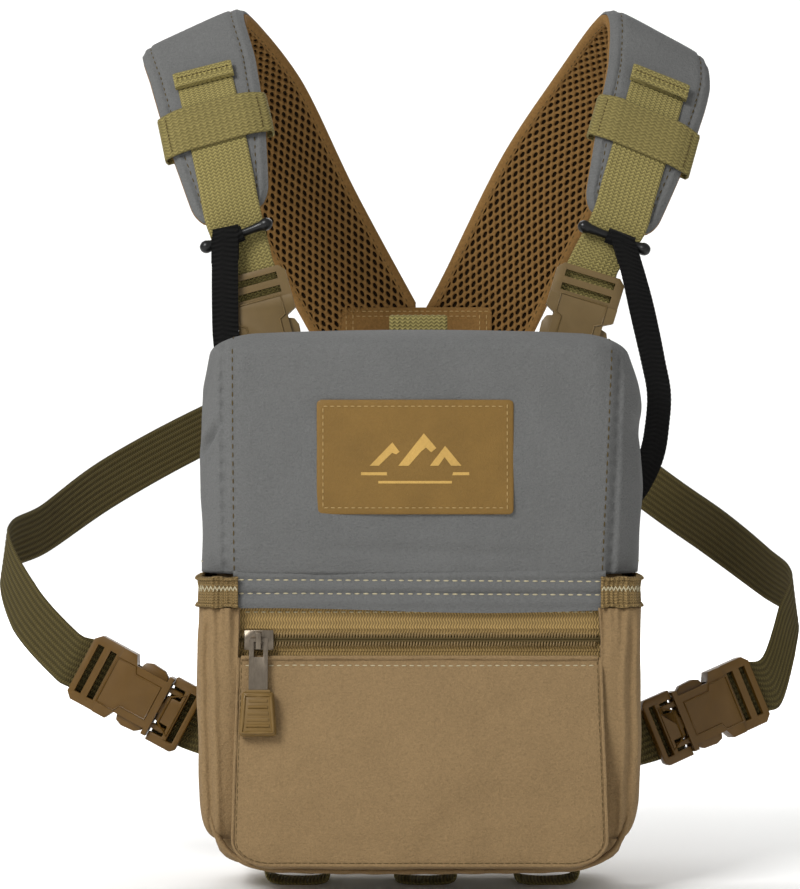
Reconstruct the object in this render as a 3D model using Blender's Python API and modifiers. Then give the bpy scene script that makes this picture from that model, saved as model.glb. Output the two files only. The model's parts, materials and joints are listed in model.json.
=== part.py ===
"""Binocular harness pack: a chest bag for binoculars on a padded shoulder harness.

Frame, in metres: +X is the viewer's right, -Y the front and +Z up. The origin is the
centre of the back pad's rear face, which lies on the wearer's chest. The harness loops
round behind it to a yoke on the wearer's back. Straps are ribbons that follow a smooth
route, and every layer of a strap is a ribbon on the same route, further out or in.
"""

import math

import bmesh
import bpy
from mathutils import Matrix, Vector

# Clearances and cloth
GAP = 0.0003  # between pieces that touch
WEBBING = 0.0016  # thickness of webbing
WEBBING_HALF = 0.0125  # half the width of 25 mm webbing

# Bag body: an open-topped box with rounded front corners
BAG_HALF_WIDTH = 0.096
BAG_BACK = -0.0088
BAG_DEPTH = 0.0757
BAG_BOTTOM = -0.1255
BAG_HEIGHT = 0.2205
BAG_WALL = 0.003
BAG_CORNER = 0.018
LINER_WALL = 0.0012
LINER_DROP = 0.002  # the liner's hem, below the bag's rim
BAG_FRONT = BAG_BACK - BAG_DEPTH
BAG_TOP = BAG_BOTTOM + BAG_HEIGHT

# Back panel
PAD_HALF_WIDTH = BAG_HALF_WIDTH - 0.020
PAD_HALF_HEIGHT = BAG_TOP - 0.033
STIFFENER_THICKNESS = 0.0015
STIFFENER_BOTTOM = BAG_BOTTOM + 0.0205
PAD_CORNER = 0.012

# Zip, which lies in a plane in front of the bag
POCKET_HALF_WIDTH = BAG_HALF_WIDTH - 0.0095
ZIP_HALF_LENGTH = POCKET_HALF_WIDTH - 0.0035
ZIP_CENTRE_Z = -0.0190
TAPE_WIDTH = 0.0145
TAPE_THICKNESS = 0.001
COIL_HEIGHT = 0.0032
COIL_THICKNESS = 0.0021
COIL_GAP = 0.0016
SLIDER_LENGTH = 0.0135
SLIDER_HALF_HEIGHT = 0.0046
SLIDER_PLATE = 0.001
SLIDER_WEB = 0.001
SLIDER_X = 0.0087 - ZIP_HALF_LENGTH
TAPE_BACK = BAG_FRONT - 2 * GAP - SLIDER_PLATE - GAP
TAPE_FRONT = TAPE_BACK - TAPE_THICKNESS
COIL_FRONT = TAPE_FRONT - GAP - COIL_THICKNESS
SLIDER_FRONT = COIL_FRONT - GAP - SLIDER_PLATE

# Zip pull, which leans outwards on the pocket
BAIL_WIDTH = 0.0024
BAIL_REACH = 0.0064
BAIL_HALF_HEIGHT = 0.0052
BAIL_WALL = 0.0014
PULL_AXIS_Y = SLIDER_FRONT - 0.0021
PULL_LEAN = math.radians(12)
PULL_WIDTH = 0.0088
PULL_LENGTH = 0.0235
PULL_THICKNESS = 0.0016
PULL_BAR = 0.0009  # from the pull's axis to the top of its bar
PULL_SLOT_HALF = 0.0022
PULL_SLOT_LENGTH = 0.0068
GRIP_TOP_WIDTH = 0.0145
GRIP_WIDTH = 0.0175
GRIP_LENGTH = 0.0205
GRIP_THICKNESS = 0.005
GRIP_BEVEL = 0.001

# Front pocket: a tray, open behind and above, whose front slopes outwards
POCKET_BOTTOM = BAG_BOTTOM - 0.001
POCKET_TOP = ZIP_CENTRE_Z - 0.008
POCKET_WALL = 0.0018
POCKET_DEPTH = 0.0222
POCKET_CORNER = 0.018
POCKET_LIP_Y = TAPE_FRONT - 0.0040

# Side pockets and their elastic hems
SIDE_REACH = BAG_HALF_WIDTH + 0.009
SIDE_FRONT = BAG_FRONT - 0.008
SIDE_BACK = BAG_BACK - 0.0272
SIDE_BOTTOM = BAG_BOTTOM + 0.0135
SIDE_TOP = -0.004
SIDE_WALL = 0.0015
HEM_HEIGHT = 0.0137
HEM_WALL = 0.002
HEM_PROUD = 0.0005
SIDE_CORNER = 0.010

# Lid and its hinge strip
LID_HALF_WIDTH = BAG_HALF_WIDTH + 0.007
LID_FRONT = BAG_FRONT - 0.0055
LID_BACK = BAG_BACK + 0.002
LID_TOP = BAG_TOP + 0.0276
LID_BOTTOM = SIDE_TOP + GAP + HEM_HEIGHT + 0.0015
LID_WALL = 0.002
LID_CORNER = 0.020
LID_TOP_CORNER = 0.009
STRIP_TOP = LID_BOTTOM - 0.0018
STRIP_BOTTOM = ZIP_CENTRE_Z + 0.0148
STRIP_HALF_WIDTH = POCKET_HALF_WIDTH - GAP
STRIP_THICKNESS = 0.0022
PATCH_CENTRE = (-0.002, 0.0657)
PATCH_SIZE = (0.091, 0.053)
PATCH_THICKNESS = 0.0014
PATCH_CORNER = 0.004
MAGNET_SIZE = (0.014, 0.002, 0.006)

# Webbing under the bag: three loops between its tacks
LOOP_CENTRES = (-0.057, 0.003, 0.060)
LOOP_HALF = 0.0165
LOOP_FLAT_HALF = 0.0120
LOOP_DEPTH = 0.0088
LOOP_WEBBING_Y = BAG_BACK - 0.0412
LOOP_END = 0.006  # webbing past the last tacks

# Shoulder straps, in layers outwards from the middle of the pad
PAD_SPLIT = 0.0007  # between the foam's cover and the mesh lining
FOAM = 0.0040
MESH = 0.0035
SHOULDER_WEBBING_HALF = 0.0142
KEEPER_LENGTH = 0.0215
KEEPER_THICKNESS = 0.0012
KEEPER_AT = 0.0480
KEEPER_EASE = 0.0006  # the keeper's looseness on the pad and its webbing
TAB_LENGTH = 0.0095
TAB_AT = 0.0760
TETHER_HALF = 0.0065
TETHER_THICKNESS = 0.0012
BAR_RADIUS = 0.0020
BALL_RADIUS = 0.0036
BAR_LENGTH = 0.0385

# Yoke
YOKE_HALF_WIDTH = 0.043
YOKE_LOW = BAG_TOP - 0.009
YOKE_HIGH = BAG_TOP + 0.0497
YOKE_FRONT = 0.1734
YOKE_THICKNESS = 0.0022

# Grab loop, on the top of the bag's back
GRAB_LOOP_TOP = BAG_TOP + 0.0402
GRAB_LOOP_SPREAD = 0.0070
GRAB_LOOP_HALF = 0.0143

# Side-release buckle, along its own length from the adjuster's end
SOCKET_LENGTH = 0.044
SOCKET_HALF = WEBBING_HALF + 0.00475
WAIST_HALF = WEBBING_HALF + 0.0001
MOUTH_HALF = WEBBING_HALF + 0.003
WAIST_START = 0.0250
WAIST_END = 0.0415
CAVITY_START = 0.017
CAVITY_HALF = WEBBING_HALF + 0.0005
PLUG_THICKNESS = 0.005
PLUG_EASE = 0.0004  # above and below the plug in the socket
CAVITY_THICKNESS = PLUG_THICKNESS + 2 * PLUG_EASE
SOCKET_SKIN = 0.0016
SOCKET_THICKNESS = CAVITY_THICKNESS + 2 * SOCKET_SKIN
BAR_BACK = -0.001  # the adjuster bars' back, from the middle plane
BAR_FRONT = 0.0026
SLOTS = ((0.0030, 0.0064), (0.0098, 0.0132))
PLUG_HALF = SOCKET_HALF - 0.00025
PLUG_END = 0.060
TONGUE_HALF = 0.003
TONGUE_TIP = 0.022
PRONG_HINGE = (0.0505, WEBBING_HALF - 0.0029)
PRONG_INNER = WEBBING_HALF - 0.0042
PRONG_THICKNESS = PLUG_THICKNESS - PLUG_EASE
SOCKET_CORNER = 0.003
SOCKET_SHOULDER = 0.0025  # along the slope from the body to the waist
PLUG_CLEARANCE = 0.0005  # between the socket's mouth and the plug
RECESS_HALF = WEBBING_HALF
RECESS_SLACK = 0.0016  # round the root of a prong
PLUG_SLOT = (0.0060, 0.0028)  # from the plug's end
RIM_CLEARANCE = 0.0015  # under the lid, above the bag's rim

# How far the bag's top and sides are from where the straps were drawn for them
RISE = BAG_TOP - 0.095
SPREAD = BAG_HALF_WIDTH - 0.096

PACK = "binocular_harness_pack"


def collection(name):
    made = bpy.data.collections.new(name)
    bpy.context.scene.collection.children.link(made)
    return made


def material(name, colour, roughness, metallic=0.0):
    made = bpy.data.materials.new(name)
    made.use_nodes = True
    shader = made.node_tree.nodes["Principled BSDF"]
    shader.inputs["Base Color"].default_value = (*colour, 1.0)
    shader.inputs["Roughness"].default_value = roughness
    shader.inputs["Metallic"].default_value = metallic
    return made


def add_mesh(name, bm, finish, place=None):
    """A new object from a bmesh, in the collection of cutters if it has no finish."""
    mesh = bpy.data.meshes.new(name)
    bm.to_mesh(mesh)
    bm.free()
    made = bpy.data.objects.new(name, mesh)
    if place is not None:
        made.matrix_world = place
    if finish is None:
        CUTTERS.objects.link(made)
        made.hide_render = True
        made.display_type = "WIRE"
    else:
        PARTS.objects.link(made)
        mesh.materials.append(finish)
    return made


def edges_along(bm, axis, where):
    """The straight edges along an axis (0, 1 or 2) whose middle passes the test."""
    found = []
    for edge in bm.edges:
        a, b = (v.co for v in edge.verts)
        span = b - a
        if abs(span[axis]) > 0.999 * span.length and where((a + b) / 2):
            found.append(edge)
    return found


def round_edges(bm, axis, where, radius, segments=3):
    bmesh.ops.bevel(
        bm,
        geom=edges_along(bm, axis, where),
        offset=radius,
        segments=segments,
        profile=0.5,
        affect="EDGES",
    )


def cube_between(low, high):
    bm = bmesh.new()
    low, high = Vector(low), Vector(high)
    size = high - low
    place = Matrix.Translation((low + high) / 2) @ Matrix.Diagonal((*size, 1.0))
    bmesh.ops.create_cube(bm, size=1.0, matrix=place)
    return bm


def open_side(bm, direction):
    """Delete the flat faces that point in a direction."""
    direction = Vector(direction)
    bm.normal_update()
    gone = [f for f in bm.faces if f.normal.dot(direction) > 0.99]
    bmesh.ops.delete(bm, geom=gone, context="FACES")


def thicken(made, thickness, offset=-1.0):
    solidify = made.modifiers.new("wall", "SOLIDIFY")
    solidify.thickness = thickness
    solidify.offset = offset
    solidify.use_even_offset = True


def bevel(made, width, segments=1):
    rounded = made.modifiers.new("edges", "BEVEL")
    rounded.width = width
    rounded.segments = segments
    rounded.limit_method = "ANGLE"
    rounded.angle_limit = math.radians(50)


def combine(made, other, operation="DIFFERENCE"):
    joined = made.modifiers.new(operation.lower(), "BOOLEAN")
    joined.operation = operation
    joined.object = other
    joined.solver = "EXACT"


def cut_block(made, low, high, place=None):
    combine(made, add_mesh(made.name + "_cut", cube_between(low, high), None, place))


def prism(name, outline, thickness, finish, place):
    """A flat outline in its own XY plane, thickened both ways and set in place."""
    curve = bpy.data.curves.new(name, "CURVE")
    curve.dimensions = "2D"
    curve.fill_mode = "BOTH"
    curve.extrude = thickness / 2
    spline = curve.splines.new("POLY")
    spline.points.add(len(outline) - 1)
    for point, (x, y) in zip(spline.points, outline):
        point.co = (x, y, 0.0, 1.0)
    spline.use_cyclic_u = True
    source = bpy.data.objects.new(name + "_outline", curve)
    bpy.context.scene.collection.objects.link(source)
    graph = bpy.context.evaluated_depsgraph_get()
    flat = bpy.data.meshes.new_from_object(source.evaluated_get(graph))
    bm = bmesh.new()
    bm.from_mesh(flat)
    bmesh.ops.remove_doubles(bm, verts=bm.verts, dist=1e-6)
    bmesh.ops.recalc_face_normals(bm, faces=bm.faces)
    bpy.data.objects.remove(source)
    bpy.data.meshes.remove(flat)
    return add_mesh(name, bm, finish, place)


def mix(a, b, share):
    return a + (b - a) * share


def smooth_step(a, b, c, d, t):
    """A point between b and c on the smooth curve through four points."""
    return 0.5 * (
        2 * b
        + (c - a) * t
        + (2 * a - 5 * b + 4 * c - d) * t * t
        + (3 * b - a - 3 * c + d) * t * t * t
    )


class Route:
    """A strap's middle line, with the direction and half of its width at each point."""

    def __init__(self, stations, samples=16):
        points = [Vector(s[0]) for s in stations]
        widths = [Vector(s[1]).normalized() for s in stations]
        halves = [s[2] for s in stations]
        self.rows = []
        last = len(points) - 1
        for i in range(last):
            a, d = points[max(i - 1, 0)], points[min(i + 2, last)]
            for k in range(samples + (i == last - 1)):
                t = k / samples
                point = smooth_step(a, points[i], points[i + 1], d, t)
                width = mix(widths[i], widths[i + 1], t)
                self.rows.append([point, width, mix(halves[i], halves[i + 1], t)])
        self.reach = [0.0]
        for one, two in zip(self.rows, self.rows[1:]):
            self.reach.append(self.reach[-1] + (two[0] - one[0]).length)
        self.length = self.reach[-1]

    def at(self, distance):
        """The point, width direction, outward direction and half width there."""
        distance = min(max(distance, 0.0), self.length)
        i = 0
        while i < len(self.reach) - 2 and self.reach[i + 1] < distance:
            i += 1
        share = (distance - self.reach[i]) / (self.reach[i + 1] - self.reach[i])
        one, two = self.rows[i], self.rows[i + 1]
        width = mix(one[1], two[1], share).normalized()
        before = self.rows[max(i - 1, 0)][0]
        after = self.rows[min(i + 2, len(self.rows) - 1)][0]
        along = (after - before).normalized()
        outward = width.cross(along).normalized()
        return mix(one[0], two[0], share), width, outward, mix(one[2], two[2], share)


def ribbon_surface(route, start, end, step, offset, half=None):
    """The open middle surface of a strap, a distance outwards from its route."""
    bm = bmesh.new()
    count = max(1, round((end - start) / step))
    edges = []
    for i in range(count + 1):
        point, width, outward, own = route.at(start + (end - start) * i / count)
        reach = width * (own if half is None else half)
        middle = point + outward * offset
        pair = [bm.verts.new(middle + reach), bm.verts.new(middle - reach)]
        edges.append(bm.edges.new(pair))
    for one, two in zip(edges, edges[1:]):
        bmesh.ops.bridge_loops(bm, edges=[one, two])
    bmesh.ops.recalc_face_normals(bm, faces=bm.faces)
    return bm


def ribbon(name, route, start, end, offset, thickness, finish, half=None, step=0.014):
    bm = ribbon_surface(route, start, end, step, offset, half)
    made = add_mesh(name, bm, finish)
    thicken(made, thickness, offset=0.0)
    return made


def make_bag(cloth, lining, board):
    low = (-BAG_HALF_WIDTH, BAG_FRONT, BAG_BOTTOM)
    high = (BAG_HALF_WIDTH, BAG_BACK, BAG_TOP)
    bm = cube_between(low, high)
    round_edges(bm, 2, lambda p: p.y < BAG_FRONT + GAP, BAG_CORNER, 4)
    open_side(bm, (0, 0, 1))
    thicken(add_mesh("main_bag", bm, cloth), BAG_WALL)

    inset = BAG_WALL + GAP
    low = (-BAG_HALF_WIDTH + inset, BAG_FRONT + inset, BAG_BOTTOM + inset)
    high = (BAG_HALF_WIDTH - inset, BAG_BACK - inset, BAG_TOP - LINER_DROP)
    bm = cube_between(low, high)
    round_edges(bm, 2, lambda p: p.y < BAG_FRONT + inset + GAP, BAG_CORNER - inset, 4)
    open_side(bm, (0, 0, 1))
    thicken(add_mesh("bag_liner", bm, lining), LINER_WALL)

    back = BAG_BACK + GAP
    low = (-PAD_HALF_WIDTH, back, STIFFENER_BOTTOM)
    high = (PAD_HALF_WIDTH, back + STIFFENER_THICKNESS, PAD_HALF_HEIGHT)
    add_mesh("back_stiffener", cube_between(low, high), board)
    low = (-PAD_HALF_WIDTH, back + STIFFENER_THICKNESS + GAP, -PAD_HALF_HEIGHT)
    bm = cube_between(low, (PAD_HALF_WIDTH, 0.0, PAD_HALF_HEIGHT))
    round_edges(bm, 1, lambda p: True, PAD_CORNER)
    add_mesh("back_pad", bm, cloth)


def bag_envelope(name):
    """The bag's outside with its clearance, which cuts the pieces that lie on it."""
    low = (-BAG_HALF_WIDTH - GAP, BAG_FRONT - GAP, BAG_BOTTOM - GAP)
    high = (BAG_HALF_WIDTH + GAP, BAG_BACK + GAP, BAG_TOP + GAP)
    bm = cube_between(low, high)
    round_edges(bm, 2, lambda p: p.y < BAG_FRONT, BAG_CORNER + GAP, 4)
    return add_mesh(name, bm, None)


def make_front_pocket(cloth):
    back = BAG_FRONT - GAP
    front = back - POCKET_DEPTH
    low = (-POCKET_HALF_WIDTH, front, POCKET_BOTTOM)
    bm = cube_between(low, (POCKET_HALF_WIDTH, back, POCKET_TOP))
    for vert in bm.verts:
        if vert.co.y < front + GAP and vert.co.z > POCKET_TOP - GAP:
            vert.co.y = POCKET_LIP_Y
    round_edges(bm, 1, lambda p: p.z < POCKET_BOTTOM + GAP, POCKET_CORNER, 4)
    open_side(bm, (0, 0, 1))
    open_side(bm, (0, 1, 0))
    thicken(add_mesh("front_pocket", bm, cloth), POCKET_WALL)


def make_zip(tape, coil, metal, grip):
    inner = COIL_GAP / 2
    for side, part in ((1, "upper"), (-1, "lower")):
        near = ZIP_CENTRE_Z + side * inner
        tape_end = near + side * TAPE_WIDTH
        low = (-ZIP_HALF_LENGTH, TAPE_FRONT, min(near, tape_end))
        high = (ZIP_HALF_LENGTH, TAPE_BACK, max(near, tape_end))
        add_mesh("zip_tape_" + part, cube_between(low, high), tape)
        coil_end = near + side * COIL_HEIGHT
        low = (-ZIP_HALF_LENGTH, COIL_FRONT, min(near, coil_end))
        high = (ZIP_HALF_LENGTH, TAPE_FRONT - GAP, max(near, coil_end))
        add_mesh("zip_coil_" + part, cube_between(low, high), coil)

    # the slider's section, in the plane across its travel: two plates and the web
    reach, web = SLIDER_HALF_HEIGHT, SLIDER_WEB / 2
    front, front_in = SLIDER_FRONT, SLIDER_FRONT + SLIDER_PLATE
    back_in, back = TAPE_BACK + GAP, TAPE_BACK + GAP + SLIDER_PLATE
    section = [
        (front, -reach), (front_in, -reach), (front_in, -web), (back_in, -web),
        (back_in, -reach), (back, -reach), (back, reach), (back_in, reach),
        (back_in, web), (front_in, web), (front_in, reach), (front, reach),
    ]
    across = Matrix(((0, 0, 1), (1, 0, 0), (0, 1, 0))).to_4x4()
    place = Matrix.Translation((SLIDER_X, 0, ZIP_CENTRE_Z)) @ across
    slider = prism("zip_slider", section, SLIDER_LENGTH, metal, place)
    tall, wall, root = BAIL_HALF_HEIGHT - 0.0012, BAIL_WALL, front + SLIDER_PLATE / 2
    nose = front - BAIL_REACH + SLIDER_PLATE
    arch = [
        (root, -tall), (nose, -tall), (nose, tall), (root, tall),
        (root, tall - wall), (nose + wall, tall - wall),
        (nose + wall, wall - tall), (root, wall - tall),
    ]
    bail = prism("slider_bail", arch, BAIL_WIDTH, None, place)
    combine(slider, bail, "UNION")

    # the pull hangs from its bar, and leans outwards by PULL_LEAN
    axis = Matrix.Translation((SLIDER_X, PULL_AXIS_Y, ZIP_CENTRE_Z))
    axis = axis @ Matrix.Rotation(-PULL_LEAN, 4, "X")
    half = PULL_THICKNESS / 2
    low = (-PULL_WIDTH / 2, -half, -PULL_LENGTH)
    bm = cube_between(low, (PULL_WIDTH / 2, half, PULL_BAR))
    tab = add_mesh("zip_pull_tab", bm, metal, axis)
    slot_low = (-PULL_SLOT_HALF, -2 * half, -PULL_BAR - PULL_SLOT_LENGTH)
    cut_block(tab, slot_low, (PULL_SLOT_HALF, 2 * half, -PULL_BAR), axis)
    top = -PULL_LENGTH - GAP
    outline = [
        (-GRIP_TOP_WIDTH / 2, top), (GRIP_TOP_WIDTH / 2, top),
        (GRIP_WIDTH / 2, top - GRIP_LENGTH), (-GRIP_WIDTH / 2, top - GRIP_LENGTH),
    ]
    upright = Matrix.Rotation(math.radians(90), 4, "X")
    made = prism("zip_pull_grip", outline, GRIP_THICKNESS, grip, axis @ upright)
    bevel(made, GRIP_BEVEL)


def make_side_pocket(side, name, cloth, elastic):
    inner = POCKET_HALF_WIDTH + GAP

    def tray(label, finish, proud, low_z, high_z, wall, with_floor):
        low_y, high_y = SIDE_FRONT - proud, SIDE_BACK + proud
        reach = SIDE_REACH + proud
        xs = sorted((side * inner, side * reach))
        bm = cube_between((xs[0], low_y, low_z), (xs[1], high_y, high_z))
        outer = side * reach

        def front_outer(p):
            return abs(p.x - outer) < GAP and p.y < low_y + GAP

        round_edges(bm, 2, front_outer, SIDE_CORNER)
        open_side(bm, (0, 0, 1))
        open_side(bm, (-side, 0, 0))
        if not with_floor:
            open_side(bm, (0, 0, -1))
        made = add_mesh(label, bm, finish)
        thicken(made, wall)
        combine(made, bag_envelope(label + "_cut"))

    tray("side_pocket_" + name, cloth, 0.0, SIDE_BOTTOM, SIDE_TOP, SIDE_WALL, True)
    hem_low = SIDE_TOP + GAP
    hem_high = hem_low + HEM_HEIGHT
    label = "pocket_elastic_" + name
    tray(label, elastic, HEM_PROUD, hem_low, hem_high, HEM_WALL, False)


def make_lid(cloth, patch, magnet):
    low = (-LID_HALF_WIDTH, LID_FRONT, LID_BOTTOM)
    bm = cube_between(low, (LID_HALF_WIDTH, LID_BACK, LID_TOP))
    round_edges(bm, 2, lambda p: p.y < LID_FRONT + GAP, LID_CORNER, 4)
    round_edges(bm, 1, lambda p: p.z > LID_TOP - GAP, LID_TOP_CORNER)
    open_side(bm, (0, 0, -1))
    lid = add_mesh("lid_shell", bm, cloth)
    thicken(lid, LID_WALL)
    inside = LID_HALF_WIDTH - LID_WALL - GAP
    rim = BAG_TOP + RIM_CLEARANCE
    low = (-inside, LID_BACK - 2 * LID_WALL, LID_BOTTOM - LID_WALL)
    cut_block(lid, low, (inside, LID_BACK + LID_WALL, rim))

    front = TAPE_FRONT - GAP - STRIP_THICKNESS
    low = (-STRIP_HALF_WIDTH, front, STRIP_BOTTOM)
    high = (STRIP_HALF_WIDTH, front + STRIP_THICKNESS, STRIP_TOP)
    add_mesh("lid_hinge_strip", cube_between(low, high), cloth)

    x, z = PATCH_CENTRE
    wide, tall = PATCH_SIZE[0] / 2, PATCH_SIZE[1] / 2
    back = LID_FRONT - GAP
    low = (x - wide, back - PATCH_THICKNESS, z - tall)
    bm = cube_between(low, (x + wide, back, z + tall))
    round_edges(bm, 1, lambda p: True, PATCH_CORNER, 2)
    add_mesh("lid_patch", bm, patch)

    wide, deep, tall = MAGNET_SIZE
    liner_face = BAG_BACK - BAG_WALL - LINER_WALL - 2 * GAP
    lid_face = LID_BACK - LID_WALL - GAP
    places = (
        ("bag_magnet", liner_face, BAG_TOP - LINER_DROP - tall - 0.001),
        ("lid_magnet", lid_face, rim + 0.001),
    )
    for name, face, base in places:
        low = (-wide / 2, face - deep, base)
        add_mesh(name, cube_between(low, (wide / 2, face, base + tall)), magnet)


def make_bottom_webbing(webbing):
    tack = BAG_BOTTOM - GAP - WEBBING / 2
    along = Vector((0, 1, 0))
    xs = [(LOOP_CENTRES[0] - LOOP_HALF - LOOP_END, tack)]
    for centre in LOOP_CENTRES:
        xs.append((centre - LOOP_HALF, tack))
        xs.append((centre - LOOP_FLAT_HALF, tack - LOOP_DEPTH))
        xs.append((centre + LOOP_FLAT_HALF, tack - LOOP_DEPTH))
        xs.append((centre + LOOP_HALF, tack))
    xs.append((LOOP_CENTRES[-1] + LOOP_HALF + LOOP_END, tack))
    bm = bmesh.new()
    edges = []
    for x, z in xs:
        middle = Vector((x, LOOP_WEBBING_Y, z))
        reach = along * WEBBING_HALF
        edges.append(bm.edges.new([bm.verts.new(middle + reach), bm.verts.new(middle - reach)]))
    for one, two in zip(edges, edges[1:]):
        bmesh.ops.bridge_loops(bm, edges=[one, two])
    bmesh.ops.recalc_face_normals(bm, faces=bm.faces)
    thicken(add_mesh("bottom_webbing", bm, webbing), WEBBING, offset=0.0)


class Buckle:
    """One side-release buckle: where it lies, and its pieces in its own length,
    width and thickness."""

    def __init__(self, name, adjuster_end, along, outward=(0, -1, 0)):
        self.name = name
        length = Vector(along).normalized()
        width = Vector(outward).cross(length).normalized()
        thickness = length.cross(width)
        self.width = width
        turn = Matrix((length, width, thickness)).transposed().to_4x4()
        self.place = Matrix.Translation(adjuster_end) @ turn

    def point(self, u, v=0.0, n=0.0):
        return self.place @ Vector((u, v, n))

    def both(self, outline):
        """An outline's upper half, and the same mirrored below it."""
        return outline + [(u, -v) for u, v in reversed(outline)]

    def make(self, plastic):
        self.make_socket(plastic)
        self.make_plug(plastic)
        for side, which in ((1, "a"), (-1, "b")):
            self.make_prong(side, which, plastic)

    def make_socket(self, plastic):
        corner = SOCKET_CORNER
        outline = self.both([
            (0.0, SOCKET_HALF - corner), (corner, SOCKET_HALF),
            (WAIST_START - SOCKET_SHOULDER, SOCKET_HALF), (WAIST_START, WAIST_HALF),
            (WAIST_END, WAIST_HALF), (WAIST_END, MOUTH_HALF),
            (SOCKET_LENGTH, MOUTH_HALF),
        ])
        name = "buckle_socket_" + self.name
        socket = prism(name, outline, SOCKET_THICKNESS, plastic, self.place)
        thick = SOCKET_THICKNESS
        half = CAVITY_THICKNESS / 2
        inside = CAVITY_HALF
        cuts = [
            ((CAVITY_START, -inside, -half), (SOCKET_LENGTH + thick, inside, half)),
            ((-thick, -thick * 3, BAR_FRONT), (CAVITY_START - 0.0015, thick * 3, thick)),
            ((-thick, -inside, -thick), (SLOTS[1][1] + GAP, inside, BAR_BACK)),
        ]
        for start, end in SLOTS:
            cuts.append(((start, GAP - inside, BAR_BACK - GAP), (end, inside - GAP, thick)))
        for low, high in cuts:
            cut_block(socket, low, high, self.place)

    def make_plug(self, plastic):
        lip = SOCKET_LENGTH + PLUG_CLEARANCE
        recess_end = PRONG_HINGE[0] + 3 * GAP
        recess = (PRONG_INNER - RECESS_SLACK, RECESS_HALF)
        outline = self.both([
            (TONGUE_TIP, TONGUE_HALF), (lip, TONGUE_HALF), (lip, recess[0]),
            (recess_end, recess[0]), (recess_end, recess[1]), (lip, recess[1]),
            (lip, PLUG_HALF), (PLUG_END - 0.002, PLUG_HALF),
            (PLUG_END, PLUG_HALF - 0.002),
        ])
        name = "buckle_plug_" + self.name
        plug = prism(name, outline, PLUG_THICKNESS, plastic, self.place)
        thick = PLUG_THICKNESS
        low = (PLUG_END - PLUG_SLOT[0], -CAVITY_HALF, -thick)
        high = (PLUG_END - PLUG_SLOT[1], CAVITY_HALF, thick)
        cut_block(plug, low, high, self.place)

    def make_prong(self, side, which, plastic):
        """An arm with its barb, which its origin at the hinge line turns inwards."""
        root = PRONG_HINGE[0] + 0.0006
        outer = PRONG_INNER + 0.0026
        barb = WAIST_END - 0.0005
        outline = [
            (root, PRONG_INNER), (root, outer), (barb + 0.0003, outer),
            (barb, WEBBING_HALF + 0.0017), (0.0380, WEBBING_HALF + 0.0039),
            (0.0310, WEBBING_HALF + 0.0044), (0.0276, WEBBING_HALF + 0.0030),
            (0.0266, WEBBING_HALF), (0.0245, WEBBING_HALF - 0.0025),
            (0.0245, PRONG_INNER),
        ]
        hinge = Vector((PRONG_HINGE[0], side * PRONG_HINGE[1], 0))
        local = [(u - hinge.x, side * v - hinge.y) for u, v in outline]
        name = "buckle_prong_" + self.name + "_" + which
        place = self.place @ Matrix.Translation(hinge)
        prism(name, local, PRONG_THICKNESS, plastic, place)


def place_buckles():
    return {
        "shoulder_left": Buckle("shoulder_left", (-0.0834, 0.0040, 0.1568 + RISE), (0.26, 0, -0.965)),
        "shoulder_right": Buckle("shoulder_right", (0.0865, 0.0040, 0.1576 + RISE), (-0.29, 0, -0.957)),
        "side_left": Buckle("side_left", (-0.1639, -0.0220, -0.0354), (0.880, -0.075, -0.469)),
        "side_right": Buckle("side_right", (0.1669, -0.0060, -0.0480), (-0.88, -0.28, -0.36)),
    }


# Each strap's stations are drawn for a bag with its top at 95 mm and its sides at 96 mm.
# Each strap's stations: a point on its middle line, its width direction, half its width
SHOULDER_LEFT = [
    ((-0.0918, 0.012, 0.1845), (0.95, 0, 0.31), 0.0175),
    ((-0.1008, 0.020, 0.2278), (0.966, 0, 0.257), 0.025),
    ((-0.1087, 0.040, 0.2595), (0.95, 0, 0.24), 0.027),
    ((-0.1141, 0.065, 0.2819), (0.90, 0, 0.44), 0.028),
    ((-0.0879, 0.120, 0.2528), (0.866, 0, 0.50), 0.029),
    ((-0.0594, 0.150, 0.1961), (0.866, 0, 0.50), 0.029),
    ((-0.0267, 0.163, 0.1364), (0.866, 0, 0.50), 0.029),
    ((-0.0118, 0.165, 0.1100), (0.866, 0, 0.50), 0.029),
]
SHOULDER_RIGHT = [
    ((0.0993, 0.012, 0.1805), (0.924, 0, -0.384), 0.0175),
    ((0.1139, 0.020, 0.2288), (0.92, 0, -0.39), 0.025),
    ((0.1228, 0.041, 0.2610), (0.93, 0, -0.36), 0.027),
    ((0.1204, 0.065, 0.2798), (0.86, 0, -0.50), 0.028),
    ((0.0995, 0.120, 0.2538), (0.85, 0, -0.53), 0.029),
    ((0.0709, 0.150, 0.2114), (0.85, 0, -0.53), 0.029),
    ((0.0385, 0.163, 0.1463), (0.85, 0, -0.53), 0.029),
    ((0.0186, 0.165, 0.1100), (0.85, 0, -0.53), 0.029),
]
SIDE_LEFT = [
    ((-0.0360, 0.1710, 0.1170), (0.54, 0, -0.84), WEBBING_HALF),
    ((-0.0540, 0.1690, 0.1085), (0.54, 0, -0.84), WEBBING_HALF),
    ((-0.1170, 0.1350, 0.0783), (0.47, 0, -0.88), WEBBING_HALF),
    ((-0.1627, 0.1000, 0.0516), (0.35, 0, -0.94), WEBBING_HALF),
    ((-0.1920, 0.0600, 0.0284), (0.10, 0.05, -0.99), WEBBING_HALF),
    ((-0.2075, 0.0250, 0.0175), (-0.12, 0.05, -0.99), WEBBING_HALF),
    ((-0.1945, -0.0040, -0.0085), (-0.45, 0, -0.89), WEBBING_HALF),
]
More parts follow.
